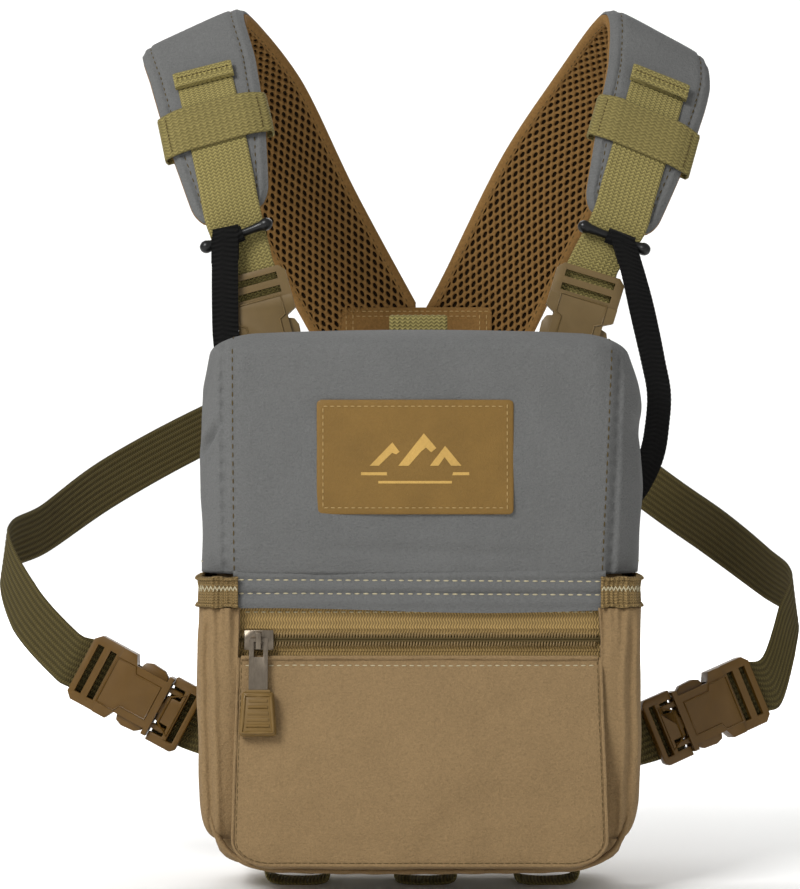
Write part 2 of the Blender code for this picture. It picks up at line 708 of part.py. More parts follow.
SIDE_RIGHT = [
    ((0.0360, 0.1710, 0.1170), (-0.59, 0, -0.81), WEBBING_HALF),
    ((0.0580, 0.1685, 0.1035), (-0.59, 0, -0.81), WEBBING_HALF),
    ((0.1257, 0.1250, 0.0486), (-0.52, 0, -0.85), WEBBING_HALF),
    ((0.1568, 0.0900, 0.0249), (-0.40, 0, -0.92), WEBBING_HALF),
    ((0.1786, 0.0550, 0.0060), (-0.15, 0.05, -0.99), WEBBING_HALF),
    ((0.1892, 0.0270, -0.0045), (0.10, 0.05, -0.99), WEBBING_HALF),
    ((0.1835, 0.0075, -0.0210), (0.33, 0, -0.94), WEBBING_HALF),
]
TETHER_LEFT = [
    ((-0.0952, -0.0022, 0.1790), (0.95, 0, 0.20), TETHER_HALF),
    ((-0.0955, -0.0022, 0.1600), (1, 0, 0), TETHER_HALF),
    ((-0.0950, -0.0022, 0.1250), (1, 0, 0), TETHER_HALF),
    ((-0.0920, -0.0030, 0.1050), (1, 0, -0.1), TETHER_HALF),
    ((-0.0885, -0.0076, 0.0860), (1, 0, -0.1), TETHER_HALF),
    ((-0.0875, -0.0076, 0.0700), (1, 0, 0), TETHER_HALF),
]
TETHER_RIGHT = [
    ((0.1008, -0.0022, 0.1750), (0.94, 0, -0.34), TETHER_HALF),
    ((0.1070, -0.0022, 0.1530), (0.97, 0.1, -0.20), TETHER_HALF),
    ((0.1123, -0.0018, 0.1303), (0.95, 0.3, 0.15), TETHER_HALF),
    ((0.1162, -0.0012, 0.1124), (0.90, 0.4, 0.10), TETHER_HALF),
    ((0.1190, -0.0010, 0.0970), (0.90, 0.4, 0), TETHER_HALF),
    ((0.1182, -0.0010, 0.0817), (0.90, 0.4, -0.10), TETHER_HALF),
    ((0.1152, -0.0012, 0.0658), (0.90, 0.3, -0.30), TETHER_HALF),
    ((0.1070, -0.0030, 0.0500), (0.80, 0, -0.60), TETHER_HALF),
    ((0.0985, -0.0046, 0.0415), (0.72, 0, -0.70), TETHER_HALF),
    ((0.0900, -0.0072, 0.0340), (0.72, 0, -0.70), TETHER_HALF),
    ((0.0860, -0.0075, 0.0305), (0.72, 0, -0.70), TETHER_HALF),
]
BARS = {
    "left": ((-0.0901, 0.0010, 0.1750 + RISE), (0.934, 0, 0.358)),
    "right": ((0.0970, 0.0010, 0.1738 + RISE), (0.935, 0, -0.355)),
}


def with_bag_top(stations, count=None):
    """Stations that go up and down with the top of the bag."""
    moved = [((x, y, z + RISE), width, half) for (x, y, z), width, half in stations[:count]]
    return moved + stations[len(moved):]


def with_bag_side(stations, side, first):
    """Stations from the first on that go in and out with the side of the bag."""
    out = side * SPREAD
    moved = [((x + out, y, z), width, half) for (x, y, z), width, half in stations[first:]]
    return stations[:first] + moved


SHOULDER_LEFT = with_bag_top(SHOULDER_LEFT)
SHOULDER_RIGHT = with_bag_top(SHOULDER_RIGHT)
SIDE_LEFT = with_bag_top(SIDE_LEFT, 2)
SIDE_RIGHT = with_bag_top(SIDE_RIGHT, 2)
TETHER_LEFT = with_bag_side(with_bag_top(TETHER_LEFT), -1, 3)
TETHER_RIGHT = with_bag_side(with_bag_top(TETHER_RIGHT), 1, 2)
PAD_OUTSIDE = PAD_SPLIT / 2 + FOAM
MESH_INSIDE = PAD_SPLIT / 2 + MESH


def trim_at_middle(bm, side):
    """Cut a strap's surface where the two straps meet behind the neck."""
    geometry = bm.verts[:] + bm.edges[:] + bm.faces[:]
    bmesh.ops.bisect_plane(
        bm,
        geom=geometry,
        dist=1e-6,
        plane_co=(side * GAP, 0, 0),
        plane_no=(-side, 0, 0),
        clear_outer=True,
    )


def make_shoulder(side, name, stations, buckle, finishes):
    cloth, mesh, webbing, elastic, black = finishes
    route = Route(stations)
    layers = (
        ("shoulder_pad_" + name, PAD_OUTSIDE - FOAM / 2, FOAM, cloth),
        ("shoulder_mesh_" + name, MESH / 2 - MESH_INSIDE, MESH, mesh),
    )
    for label, offset, thickness, finish in layers:
        bm = ribbon_surface(route, 0.0, route.length, 0.009, offset)
        trim_at_middle(bm, side)
        thicken(add_mesh(label, bm, finish), thickness, offset=0.0)

    # the webbing runs from the tab down the pad, under the keeper, to the adjuster
    lift = PAD_OUTSIDE + GAP + WEBBING / 2
    down = []
    count = 5
    for i in range(count):
        point, width, outward, _ = route.at(TAB_AT * (count - 1 - i) / (count - 1))
        down.append((point + outward * lift, -width, SHOULDER_WEBBING_HALF))
    behind = BAR_BACK - 2 * GAP - WEBBING / 2
    for u in (-0.004, 0.004, SLOTS[1][1] - 0.001):
        down.append((buckle.point(u, 0.0, behind), -buckle.width, WEBBING_HALF))
    strap = Route(down)
    ribbon("shoulder_webbing_" + name, strap, 0.0, strap.length, 0.0, WEBBING, webbing, step=0.011)

    start, end = KEEPER_AT - KEEPER_LENGTH / 2, KEEPER_AT + KEEPER_LENGTH / 2
    bottom = -MESH_INSIDE - KEEPER_EASE
    top = lift + WEBBING / 2 + KEEPER_EASE
    wall = KEEPER_THICKNESS
    half = route.at(KEEPER_AT)[3] + 0.0022
    middle = (top + bottom) / 2
    keeper = ribbon(
        "keeper_band_" + name, route, start, end, middle, top - bottom + 2 * wall,
        elastic, half + wall, step=KEEPER_LENGTH / 3,
    )
    hole = ribbon(
        keeper.name + "_cut", route, start - wall * 3, end + wall * 3, middle,
        top - bottom, None, half, step=KEEPER_LENGTH / 3,
    )
    combine(keeper, hole)

    start, end = TAB_AT - TAB_LENGTH / 2, TAB_AT + TAB_LENGTH / 2
    over = lift + WEBBING + 2 * GAP
    tab_half = SHOULDER_WEBBING_HALF + 0.0008
    ribbon("webbing_tab_" + name, route, start, end, over, WEBBING, webbing, tab_half, TAB_LENGTH / 2)

    tether = Route(TETHER_LEFT if name == "left" else TETHER_RIGHT)
    ribbon("tether_" + name, tether, 0.0, tether.length, 0.0, TETHER_THICKNESS, black, step=0.012)
    make_bar("strap_bar_" + name, *BARS[name], black)


def make_bar(name, centre, along, black):
    """A round bar with ball ends, turned about its own length."""
    profile = []
    steps = 5
    for end in (1, -1):
        arc = []
        neck = math.asin(BAR_RADIUS / BALL_RADIUS)
        for i in range(steps + 1):
            angle = (math.pi - neck) * i / steps
            height = BAR_LENGTH / 2 + BALL_RADIUS * (math.cos(angle) - 1)
            arc.append((BALL_RADIUS * math.sin(angle), end * height))
        profile += arc if end > 0 else arc[::-1]
    bm = bmesh.new()
    verts = [bm.verts.new((x, 0, z)) for x, z in profile]
    for one, two in zip(verts, verts[1:]):
        bm.edges.new((one, two))
    turn = Vector((0, 0, 1)).rotation_difference(Vector(along).normalized())
    place = Matrix.Translation(centre) @ turn.to_matrix().to_4x4()
    made = add_mesh(name, bm, black, place)
    spun = made.modifiers.new("turned", "SCREW")
    spun.steps = spun.render_steps = 10
    spun.use_merge_vertices = True
    spun.merge_threshold = 0.00001


def make_yoke(webbing):
    low = (-YOKE_HALF_WIDTH, YOKE_FRONT, YOKE_LOW)
    high = (YOKE_HALF_WIDTH, YOKE_FRONT + YOKE_THICKNESS, YOKE_HIGH)
    bm = cube_between(low, high)
    round_edges(bm, 1, lambda p: True, 0.008, 2)
    add_mesh("yoke_plate", bm, webbing)


def make_grab_loop(webbing):
    """A folded loop of webbing that stands up from the top of the bag's back."""
    inner = BAG_BACK + GAP + WEBBING / 2
    outer = inner + WEBBING + 2 * GAP
    low = PAD_HALF_HEIGHT + 3 * GAP
    top, spread = GRAB_LOOP_TOP - WEBBING / 2, GRAB_LOOP_SPREAD
    near = LID_BACK + 2 * GAP + WEBBING / 2
    far = near + spread
    profile = [
        (inner, low), (inner, BAG_TOP - 0.010), (near, BAG_TOP),
        (near, top - spread / 2), (near + spread / 2, top),
        (far, top - spread / 2), (far, BAG_TOP), (outer, BAG_TOP - 0.014),
        (outer, low),
    ]
    stations = [((0.0, y, z), (1, 0, 0), GRAB_LOOP_HALF) for y, z in profile]
    loop = Route(stations, samples=4)
    ribbon("grab_loop", loop, 0.0, loop.length, 0.0, WEBBING, webbing, step=0.004)


def make_side_strap(name, stations, buckle, webbing):
    behind = BAR_BACK - 2 * GAP - WEBBING / 2
    straight = Vector(stations[-1][1]).dot(buckle.width) > 0
    across = buckle.width if straight else -buckle.width
    ends = []
    for u in (-0.010, 0.0, SLOTS[1][1] - 0.001):
        ends.append((buckle.point(u, 0.0, behind), across, WEBBING_HALF))
    strap = Route(stations + ends)
    ribbon("side_strap_" + name, strap, 0.0, strap.length, 0.0, WEBBING, webbing, step=0.015)


def make_stub(buckle, end_points, webbing):
    """Webbing from behind a buckle's plug to where it is sewn on the bag."""
    behind = -PLUG_THICKNESS / 2 - 2 * GAP - WEBBING / 2
    stations = []
    for u in (PRONG_HINGE[0] + 0.002, PLUG_END - 0.001):
        stations.append((buckle.point(u, 0.0, behind), buckle.width, WEBBING_HALF))
    for point, width in end_points:
        stations.append((point, width, WEBBING_HALF))
    route = Route(stations, samples=6)
    ribbon("strap_stub_" + buckle.name, route, 0.0, route.length, 0.0, WEBBING, webbing, step=0.007)


def main():
    cloth = material("grey_softshell", (0.17, 0.173, 0.167), 0.85)
    tan = material("tan_softshell", (0.29, 0.197, 0.098), 0.85)
    lining = material("tan_lining", (0.35, 0.27, 0.16), 0.8)
    board = material("board", (0.05, 0.05, 0.05), 0.6)
    tape = material("zip_tape", (0.29, 0.195, 0.077), 0.8)
    coil = material("zip_coil", (0.17, 0.11, 0.045), 0.45)
    metal = material("brushed_metal", (0.30, 0.27, 0.23), 0.35, 0.9)
    grip = material("moulded_grip", (0.19, 0.12, 0.042), 0.5)
    elastic = material("elastic", (0.153, 0.105, 0.05), 0.8)
    khaki = material("khaki_webbing", (0.24, 0.20, 0.072), 0.75)
    olive = material("olive_webbing", (0.078, 0.061, 0.022), 0.75)
    mesh = material("spacer_mesh", (0.125, 0.07, 0.025), 0.85)
    plastic = material("buckle_plastic", (0.15, 0.085, 0.014), 0.35)
    black = material("black_plastic", (0.010, 0.009, 0.008), 0.35)
    patch = material("patch_leather", (0.23, 0.138, 0.038), 0.5)
    magnet = material("magnet", (0.4, 0.4, 0.4), 0.3, 1.0)

    make_bag(tan, lining, board)
    make_front_pocket(tan)
    make_zip(tape, coil, metal, grip)
    make_side_pocket(-1, "left", tan, elastic)
    make_side_pocket(1, "right", tan, elastic)
    make_lid(cloth, patch, magnet)
    make_bottom_webbing(khaki)

    buckles = place_buckles()
    for buckle in buckles.values():
        buckle.make(plastic)
    finishes = (cloth, mesh, khaki, khaki, black)
    make_shoulder(-1, "left", SHOULDER_LEFT, buckles["shoulder_left"], finishes)
    make_shoulder(1, "right", SHOULDER_RIGHT, buckles["shoulder_right"], finishes)
    make_yoke(olive)
    make_grab_loop(olive)
    make_side_strap("left", SIDE_LEFT, buckles["side_left"], olive)
    make_side_strap("right", SIDE_RIGHT, buckles["side_right"], olive)

    sewn = BAG_BACK + 2 * GAP + WEBBING / 2
    for side, name in ((-1, "shoulder_left"), (1, "shoulder_right")):
        buckle = buckles[name]
        across = buckle.width
        ends = [
            ((side * (0.0660 + SPREAD), 0.0045, BAG_TOP - 0.0010), across),
            ((side * (0.0652 + SPREAD), (sewn + 0.0045) / 2, BAG_TOP - 0.0070), across),
            ((side * (0.0645 + SPREAD), sewn + GAP, BAG_TOP - 0.0140), across),
            ((side * (0.0642 + SPREAD), sewn, BAG_TOP - 0.0185), across),
            ((side * (0.0640 + SPREAD), sewn, PAD_HALF_HEIGHT + 0.0055), across),
        ]
        make_stub(buckle, ends, olive)
    for side, name in ((-1, "side_left"), (1, "side_right")):
        buckle = buckles[name]
        end = buckle.point(PLUG_END + 0.012, 0.0, -PLUG_THICKNESS)
        end.x = side * (BAG_HALF_WIDTH + 2 * GAP)
        upright = Vector((0, 0, 1 if buckle.width.z > 0 else -1))
        make_stub(buckle, [(end, upright)], olive)


for leftover in list(bpy.data.objects):
    bpy.data.objects.remove(leftover)
PARTS = collection(PACK)
CUTTERS = collection("cutters")
main()
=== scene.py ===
"""Looks for the binocular harness pack: cloth, webbing, stitching, zip and buckles,
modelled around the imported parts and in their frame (metres, +Z up, -Y the front).

Straps follow the same routes as the part's straps. Cloth shells are cubes drawn out to
rounded, crowned boxes. Everything rides on the body that carries it.
"""

import json
import math

import bmesh
import bpy
import numpy as np
from bpy.props import FloatProperty, FloatVectorProperty, IntProperty, PointerProperty
from mathutils import Matrix, Vector, noise
from mathutils.bvhtree import BVHTree

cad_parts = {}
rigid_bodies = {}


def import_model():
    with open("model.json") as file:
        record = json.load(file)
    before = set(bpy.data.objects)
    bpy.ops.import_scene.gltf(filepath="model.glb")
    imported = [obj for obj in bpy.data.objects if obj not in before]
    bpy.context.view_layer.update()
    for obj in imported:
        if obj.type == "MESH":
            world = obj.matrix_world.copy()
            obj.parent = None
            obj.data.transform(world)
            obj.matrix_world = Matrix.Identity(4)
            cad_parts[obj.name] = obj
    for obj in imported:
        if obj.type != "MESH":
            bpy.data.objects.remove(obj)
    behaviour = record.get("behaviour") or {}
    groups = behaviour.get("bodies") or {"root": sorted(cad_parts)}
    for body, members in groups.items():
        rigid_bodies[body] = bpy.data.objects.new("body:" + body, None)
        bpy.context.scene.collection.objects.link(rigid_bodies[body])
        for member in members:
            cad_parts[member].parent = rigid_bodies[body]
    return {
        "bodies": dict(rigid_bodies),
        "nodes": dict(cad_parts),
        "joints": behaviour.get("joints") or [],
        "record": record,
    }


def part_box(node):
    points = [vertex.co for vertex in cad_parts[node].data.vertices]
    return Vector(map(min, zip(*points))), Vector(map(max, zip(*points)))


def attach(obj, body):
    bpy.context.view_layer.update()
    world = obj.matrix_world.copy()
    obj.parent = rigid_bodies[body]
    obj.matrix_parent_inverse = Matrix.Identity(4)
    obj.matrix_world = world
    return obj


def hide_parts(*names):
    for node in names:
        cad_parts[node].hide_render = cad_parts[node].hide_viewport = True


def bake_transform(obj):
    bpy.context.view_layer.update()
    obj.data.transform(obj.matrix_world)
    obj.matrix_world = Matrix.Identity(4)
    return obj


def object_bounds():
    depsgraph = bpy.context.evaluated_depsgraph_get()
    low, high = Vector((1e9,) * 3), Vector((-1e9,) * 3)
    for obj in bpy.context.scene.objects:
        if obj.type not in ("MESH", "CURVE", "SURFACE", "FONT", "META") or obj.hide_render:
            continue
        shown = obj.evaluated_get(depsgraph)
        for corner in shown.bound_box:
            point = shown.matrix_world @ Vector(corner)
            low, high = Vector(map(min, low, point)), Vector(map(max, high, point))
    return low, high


bl_info = {
    "name": "Binocular harness pack",
    "version": (1, 0, 0),
    "blender": (4, 5, 0),
    "location": "View3D > Sidebar > Harness",
    "description": "Makes the cloth, webbing, zip and buckles of a binocular harness pack",
    "category": "Object",
}

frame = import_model()
NODES = frame["nodes"]
CAD_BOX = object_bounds()
SIDES = ((-1, "left"), (1, "right"))

# Layers of the straps, as in the part
GAP = 0.0003
WEBBING = 0.0016
WEBBING_HALF = 0.0125
PAD_SPLIT = 0.0007
FOAM = 0.0040
MESH = 0.0035
PAD_OUTSIDE = PAD_SPLIT / 2 + FOAM
MESH_INSIDE = PAD_SPLIT / 2 + MESH
SHOULDER_WEBBING_HALF = 0.0142
KEEPER_AT = 0.0480
KEEPER_LENGTH = 0.0215
KEEPER_EASE = 0.0006
KEEPER_THICKNESS = 0.0012
TAB_AT = 0.0760
TAB_LENGTH = 0.0095
TETHER_HALF = 0.0065
BUCKLE_BAR_BACK = -0.001
BUCKLE_SLOT_END = 0.0132
PLUG_HALF_THICKNESS = 0.0025
PLUG_END = 0.060
FRONT = (0, 1, 0)  # the way to look at the front
HINGE = Vector((0.0, -0.0905, 0.0106))

# Routes of the straps, as in the part: a point, the width's direction, half the width
SHOULDER = {
    "left": [
        ((-0.0918, 0.012, 0.1845), (0.95, 0, 0.31), 0.0175),
        ((-0.1008, 0.020, 0.2278), (0.966, 0, 0.257), 0.025),
        ((-0.1087, 0.040, 0.2595), (0.95, 0, 0.24), 0.027),
        ((-0.1141, 0.065, 0.2819), (0.90, 0, 0.44), 0.028),
        ((-0.0879, 0.120, 0.2528), (0.866, 0, 0.50), 0.029),
        ((-0.0594, 0.150, 0.1961), (0.866, 0, 0.50), 0.029),
        ((-0.0267, 0.163, 0.1364), (0.866, 0, 0.50), 0.029),
        ((-0.0118, 0.165, 0.1100), (0.866, 0, 0.50), 0.029),
    ],
    "right": [
        ((0.0993, 0.012, 0.1805), (0.924, 0, -0.384), 0.0175),
        ((0.1139, 0.020, 0.2288), (0.92, 0, -0.39), 0.025),
        ((0.1228, 0.041, 0.2610), (0.93, 0, -0.36), 0.027),
        ((0.1204, 0.065, 0.2798), (0.86, 0, -0.50), 0.028),
        ((0.0995, 0.120, 0.2538), (0.85, 0, -0.53), 0.029),
        ((0.0709, 0.150, 0.2114), (0.85, 0, -0.53), 0.029),
        ((0.0385, 0.163, 0.1463), (0.85, 0, -0.53), 0.029),
        ((0.0186, 0.165, 0.1100), (0.85, 0, -0.53), 0.029),
    ],
}
SIDE = {
    "left": [
        ((-0.0360, 0.1710, 0.1170), (0.54, 0, -0.84), WEBBING_HALF),
        ((-0.0540, 0.1690, 0.1085), (0.54, 0, -0.84), WEBBING_HALF),
        ((-0.1170, 0.1350, 0.0783), (0.47, 0, -0.88), WEBBING_HALF),
        ((-0.1627, 0.1000, 0.0516), (0.35, 0, -0.94), WEBBING_HALF),
        ((-0.1920, 0.0600, 0.0284), (0.10, 0.05, -0.99), WEBBING_HALF),
        ((-0.2075, 0.0250, 0.0175), (-0.12, 0.05, -0.99), WEBBING_HALF),
        ((-0.1945, -0.0040, -0.0085), (-0.45, 0, -0.89), WEBBING_HALF),
    ],
    "right": [
        ((0.0360, 0.1710, 0.1170), (-0.59, 0, -0.81), WEBBING_HALF),
        ((0.0580, 0.1685, 0.1035), (-0.59, 0, -0.81), WEBBING_HALF),
        ((0.1257, 0.1250, 0.0486), (-0.52, 0, -0.85), WEBBING_HALF),
        ((0.1568, 0.0900, 0.0249), (-0.40, 0, -0.92), WEBBING_HALF),
        ((0.1786, 0.0550, 0.0060), (-0.15, 0.05, -0.99), WEBBING_HALF),
        ((0.1892, 0.0270, -0.0045), (0.10, 0.05, -0.99), WEBBING_HALF),
        ((0.1835, 0.0075, -0.0210), (0.33, 0, -0.94), WEBBING_HALF),
    ],
}
TETHER = {
    "left": [
        ((-0.0952, -0.0022, 0.1790), (0.95, 0, 0.20), TETHER_HALF),
        ((-0.0955, -0.0022, 0.1600), (1, 0, 0), TETHER_HALF),
        ((-0.0950, -0.0022, 0.1250), (1, 0, 0), TETHER_HALF),
        ((-0.0920, -0.0030, 0.1050), (1, 0, -0.1), TETHER_HALF),
        ((-0.0885, -0.0076, 0.0860), (1, 0, -0.1), TETHER_HALF),
        ((-0.0875, -0.0076, 0.0700), (1, 0, 0), TETHER_HALF),
    ],
    "right": [
        ((0.1008, -0.0022, 0.1750), (0.94, 0, -0.34), TETHER_HALF),
        ((0.1070, -0.0022, 0.1530), (0.97, 0.1, -0.20), TETHER_HALF),
        ((0.1123, -0.0018, 0.1303), (0.95, 0.3, 0.15), TETHER_HALF),
        ((0.1162, -0.0012, 0.1124), (0.90, 0.4, 0.10), TETHER_HALF),
        ((0.1190, -0.0010, 0.0970), (0.90, 0.4, 0), TETHER_HALF),
        ((0.1182, -0.0010, 0.0817), (0.90, 0.4, -0.10), TETHER_HALF),
        ((0.1152, -0.0012, 0.0658), (0.90, 0.3, -0.30), TETHER_HALF),
        ((0.1070, -0.0030, 0.0500), (0.80, 0, -0.60), TETHER_HALF),
        ((0.0985, -0.0046, 0.0415), (0.72, 0, -0.70), TETHER_HALF),
        ((0.0900, -0.0072, 0.0340), (0.72, 0, -0.70), TETHER_HALF),
        ((0.0860, -0.0075, 0.0305), (0.72, 0, -0.70), TETHER_HALF),
    ],
}
# Where each buckle's adjuster begins, and the way its strap runs
BUCKLES = {
    "shoulder_left": ((-0.0834, 0.0040, 0.1568), (0.26, 0, -0.965)),
    "shoulder_right": ((0.0865, 0.0040, 0.1576), (-0.29, 0, -0.957)),
    "side_left": ((-0.1639, -0.0220, -0.0354), (0.880, -0.075, -0.469)),
    "side_right": ((0.1669, -0.0060, -0.0480), (-0.88, -0.28, -0.36)),
}


# ---------------------------------------------------------------- materials


class Value:
    """A socket of a finish's nodes. Python's operators on it add Math nodes."""

    def __init__(self, finish, socket):
        self.finish = finish
        self.socket = socket

    def maths(self, operation, *others):
        inputs = {i: v for i, v in enumerate((self, *others))}
        return self.finish.node("ShaderNodeMath", {"operation": operation}, inputs)

    def __add__(self, other):
        return self.maths("ADD", other)

    def __mul__(self, other):
        return self.maths("MULTIPLY", other)

    def __sub__(self, other):
        return self.maths("SUBTRACT", other)

    def __rsub__(self, other):
        return self.finish.node("ShaderNodeMath", {"operation": "SUBTRACT"}, {0: other, 1: self})

    __radd__ = __add__
    __rmul__ = __mul__

    def sine(self):
        return self.maths("SINE")

    def size(self):
        return self.maths("ABSOLUTE")

    def over(self, edge):
        return self.maths("GREATER_THAN", edge)


class Finish:
    """A material and the few kinds of node that its pattern is made of."""

    def __init__(self, name, roughness=0.8, metallic=0.0, sheen=0.0, coat=0.0, gloss=0.5):
        self.material = bpy.data.materials.new(name)
        self.material.use_nodes = True
        self.tree = self.material.node_tree
        self.shader = self.tree.nodes["Principled BSDF"]
        self.shader.inputs["Roughness"].default_value = roughness
        self.shader.inputs["Metallic"].default_value = metallic
        self.shader.inputs["Sheen Weight"].default_value = sheen
        self.shader.inputs["Sheen Roughness"].default_value = 0.5
        self.shader.inputs["Coat Weight"].default_value = coat
        self.shader.inputs["Specular IOR Level"].default_value = gloss
        self.heights = []

    def node(self, kind, settings=None, inputs=None, output=0):
        made = self.tree.nodes.new(kind)
        for key, value in (settings or {}).items():
            setattr(made, key, value)
        for key, value in (inputs or {}).items():
            socket = made.inputs[key]
            if isinstance(value, Value):
                self.tree.links.new(value.socket, socket)
            else:
                socket.default_value = value
        return Value(self, made.outputs[output])

    def place(self, stretch=(1, 1, 1)):
        """Object coordinates, stretched along their axes."""
        at = self.node("ShaderNodeTexCoord", output="Object")
        return self.node("ShaderNodeMapping", {}, {"Vector": at, "Scale": stretch})

    def along_and_across(self):
        at = self.node("ShaderNodeTexCoord", output="UV")
        split = self.node("ShaderNodeSeparateXYZ", {}, {0: at})
        return split, Value(self, split.socket.node.outputs[1])

    def noise(self, scale, detail=2.0, stretch=(1, 1, 1), where=None):
        where = where or self.place(stretch)
        inputs = {"Vector": where, "Scale": scale, "Detail": detail}
        return self.node("ShaderNodeTexNoise", {}, inputs)

    def cells(self, scale):
        inputs = {"Vector": self.place(), "Scale": scale}
        return self.node("ShaderNodeTexVoronoi", {}, inputs)

    def blend(self, share, first, second):
        """Between two colours; each is a colour or the result of another blend."""
        made = self.tree.nodes.new("ShaderNodeMix")
        made.data_type = "RGBA"
        sockets = [s for s in made.inputs if s.type == "RGBA"]
        if isinstance(share, Value):
            self.tree.links.new(share.socket, made.inputs[0])
        else:
            made.inputs[0].default_value = share
        for socket, value in zip(sockets, (first, second)):
            if isinstance(value, Value):
                self.tree.links.new(value.socket, socket)
            else:
                socket.default_value = (*value[:3], 1.0)
        return Value(self, [s for s in made.outputs if s.type == "RGBA"][0])

    def colour(self, value):
        self.tree.links.new(value.socket, self.shader.inputs["Base Color"])

    def roughness(self, value):
        self.tree.links.new(value.socket, self.shader.inputs["Roughness"])

    def raise_by(self, height, distance):
        """Relief, added to the relief that is there; distance is its height in metres."""
        self.heights.append((height, distance))

    def done(self):
        under = None
        for height, distance in self.heights:
            inputs = {"Height": height, "Distance": distance, "Strength": 1.0}
            if under:
                inputs["Normal"] = under
            under = self.node("ShaderNodeBump", {}, inputs)
        if under:
            self.tree.links.new(under.socket, self.shader.inputs["Normal"])
        return self.material


def shade(colour, share):
    return tuple(min(1.0, c * share) for c in colour[:3])


def softshell(name, colour, grain=0.24):
    """Brushed stretch cloth: a fine heathered grain over broad soft mottling."""
    made = Finish(name, roughness=0.95, sheen=0.03, gloss=0.12)
    broad = made.noise(42.0, 3.0)
    fine = made.noise(1500.0, 3.0)
    nap = made.noise(640.0, 3.0, stretch=(1.0, 1.0, 1.5))
    mixed = fine * 0.6 + nap * 0.4
    base = made.blend(broad, shade(colour, 0.84), shade(colour, 1.16))
    heather = made.blend(mixed, shade(colour, 1 - 3 * grain), shade(colour, 1 + 3 * grain))
    made.colour(made.blend(0.6, base, heather))
    made.raise_by(fine, 0.00035)
    made.raise_by(nap, 0.00040)
    made.raise_by(broad, 0.0012)
    return made.done()


def woven(name, colour, rib=0.0027, pick=0.0012, contrast=0.45, groove=0.5, roughness=0.85):
    """Webbing: ribs along its length, each of them woven aslant to its neighbour, with painted shade in
    the grooves between the ribs.
    """
    made = Finish(name, roughness=roughness, sheen=0.02, gloss=0.15)
    along, across = made.along_and_across()
    turn = 2 * math.pi
    slant = across.maths("PINGPONG", rib / 2)
    thread = (along * (turn / pick) + slant * (turn / (0.8 * rib))).sine() * 0.5 + 0.5
    ribs = (across * (turn / rib)).maths("COSINE") * -0.5 + 0.5
    worn = made.noise(70.0, 3.0)
    fuzz = made.noise(2000.0, 2.0)
    dark, light = shade(colour, 1 - contrast), shade(colour, 1 + contrast)
    lit = made.blend(thread * 0.6 + fuzz * 0.25 + worn * 0.15, dark, light)
    # Painted shade: the grooves between the ribs darken towards a third of the colour; groove sets this
    # shade and the depth of the relief.
    deep = shade(colour, 0.34)
    made.colour(made.blend((1 - ribs) * groove, lit, deep))
    made.raise_by(ribs, 0.0005 * groove)
    made.raise_by(thread, 0.00030)
    made.raise_by(fuzz, 0.00012)
    return made.done()


def knitted(name, colour, contrast=0.62):
    """The yarn of a spacer mesh."""
    made = Finish(name, roughness=0.9, sheen=0.0, gloss=0.10)
    yarn = made.noise(1900.0, 3.0)
    tufts = made.noise(700.0, 2.0)
    mix = yarn * 0.5 + tufts * 0.5
    made.colour(made.blend(mix, shade(colour, 1 - contrast), shade(colour, 1 + contrast)))
    made.raise_by(yarn, 0.00025)
    made.raise_by(tufts, 0.0003)
    return made.done()


def moulded(name, colour, roughness=0.36, coat=0.06):
    """Moulded plastic with a faint orange peel and scuffs."""
    made = Finish(name, roughness=roughness, coat=coat, gloss=0.30)
    broad = made.noise(120.0, 3.0)
    peel = made.noise(2600.0, 2.0)
    scuff = made.noise(350.0, 4.0, stretch=(1.0, 1.0, 0.2))
    made.colour(made.blend(broad, shade(colour, 0.84), shade(colour, 1.16)))
    made.roughness(scuff * 0.22 + (roughness - 0.08))
    made.raise_by(peel, 0.00003)
    made.raise_by(broad, 0.0001)
    return made.done()


def brushed(name, colour):
    """Brushed metal, with the scratches along its length."""
    made = Finish(name, roughness=0.34, metallic=0.92)
    lines = made.noise(2400.0, 2.0, stretch=(1.0, 1.0, 0.04))
    stain = made.noise(260.0, 3.0)
    made.colour(made.blend(lines * 0.6 + stain * 0.4, shade(colour, 0.7), shade(colour, 1.3)))
    made.roughness(lines * 0.25 + 0.22)
    made.raise_by(lines, 0.00004)
    return made.done()


def tanned(name, colour):
    """Smooth leather with pores and a worn sheen."""
    made = Finish(name, roughness=0.55, coat=0.02, gloss=0.22)
    pores = made.cells(1500.0)
    broad = made.noise(70.0, 4.0)
    fine = made.noise(900.0, 3.0)
    mix = broad * 0.6 + fine * 0.4
    made.colour(made.blend(mix, shade(colour, 0.72), shade(colour, 1.30)))
    made.roughness(fine * 0.3 + 0.36)
    made.raise_by(pores, 0.00010)
    made.raise_by(fine, 0.00014)
    return made.done()


def spun(name, colour):
    """Sewing thread: two plies twisted together."""
    made = Finish(name, roughness=0.8, gloss=0.15)
    plies = made.noise(2600.0, 2.0)
    made.colour(made.blend(plies, shade(colour, 0.66), shade(colour, 1.25)))
    made.raise_by(plies, 0.00010)
    return made.done()


# ---------------------------------------------------------------- making pieces


def alone(made):
    """Select one object and make it the active one."""
    bpy.ops.object.select_all(action="DESELECT")
    made.select_set(True)
    bpy.context.view_layer.objects.active = made


def apply(made, kind, **settings):
    alone(made)
    modifier = made.modifiers.new(kind.lower(), kind)
    for key, value in settings.items():
        setattr(modifier, key, value)
    bpy.ops.object.modifier_apply(modifier=modifier.name)


def edit(made, *steps):
    """Run operators on an object in edit mode, with all of it selected."""
    alone(made)
    bpy.ops.object.mode_set(mode="EDIT")
    for step, settings in steps:
        bpy.ops.mesh.select_all(action="SELECT")
        step(**settings)
    bpy.ops.object.mode_set(mode="OBJECT")


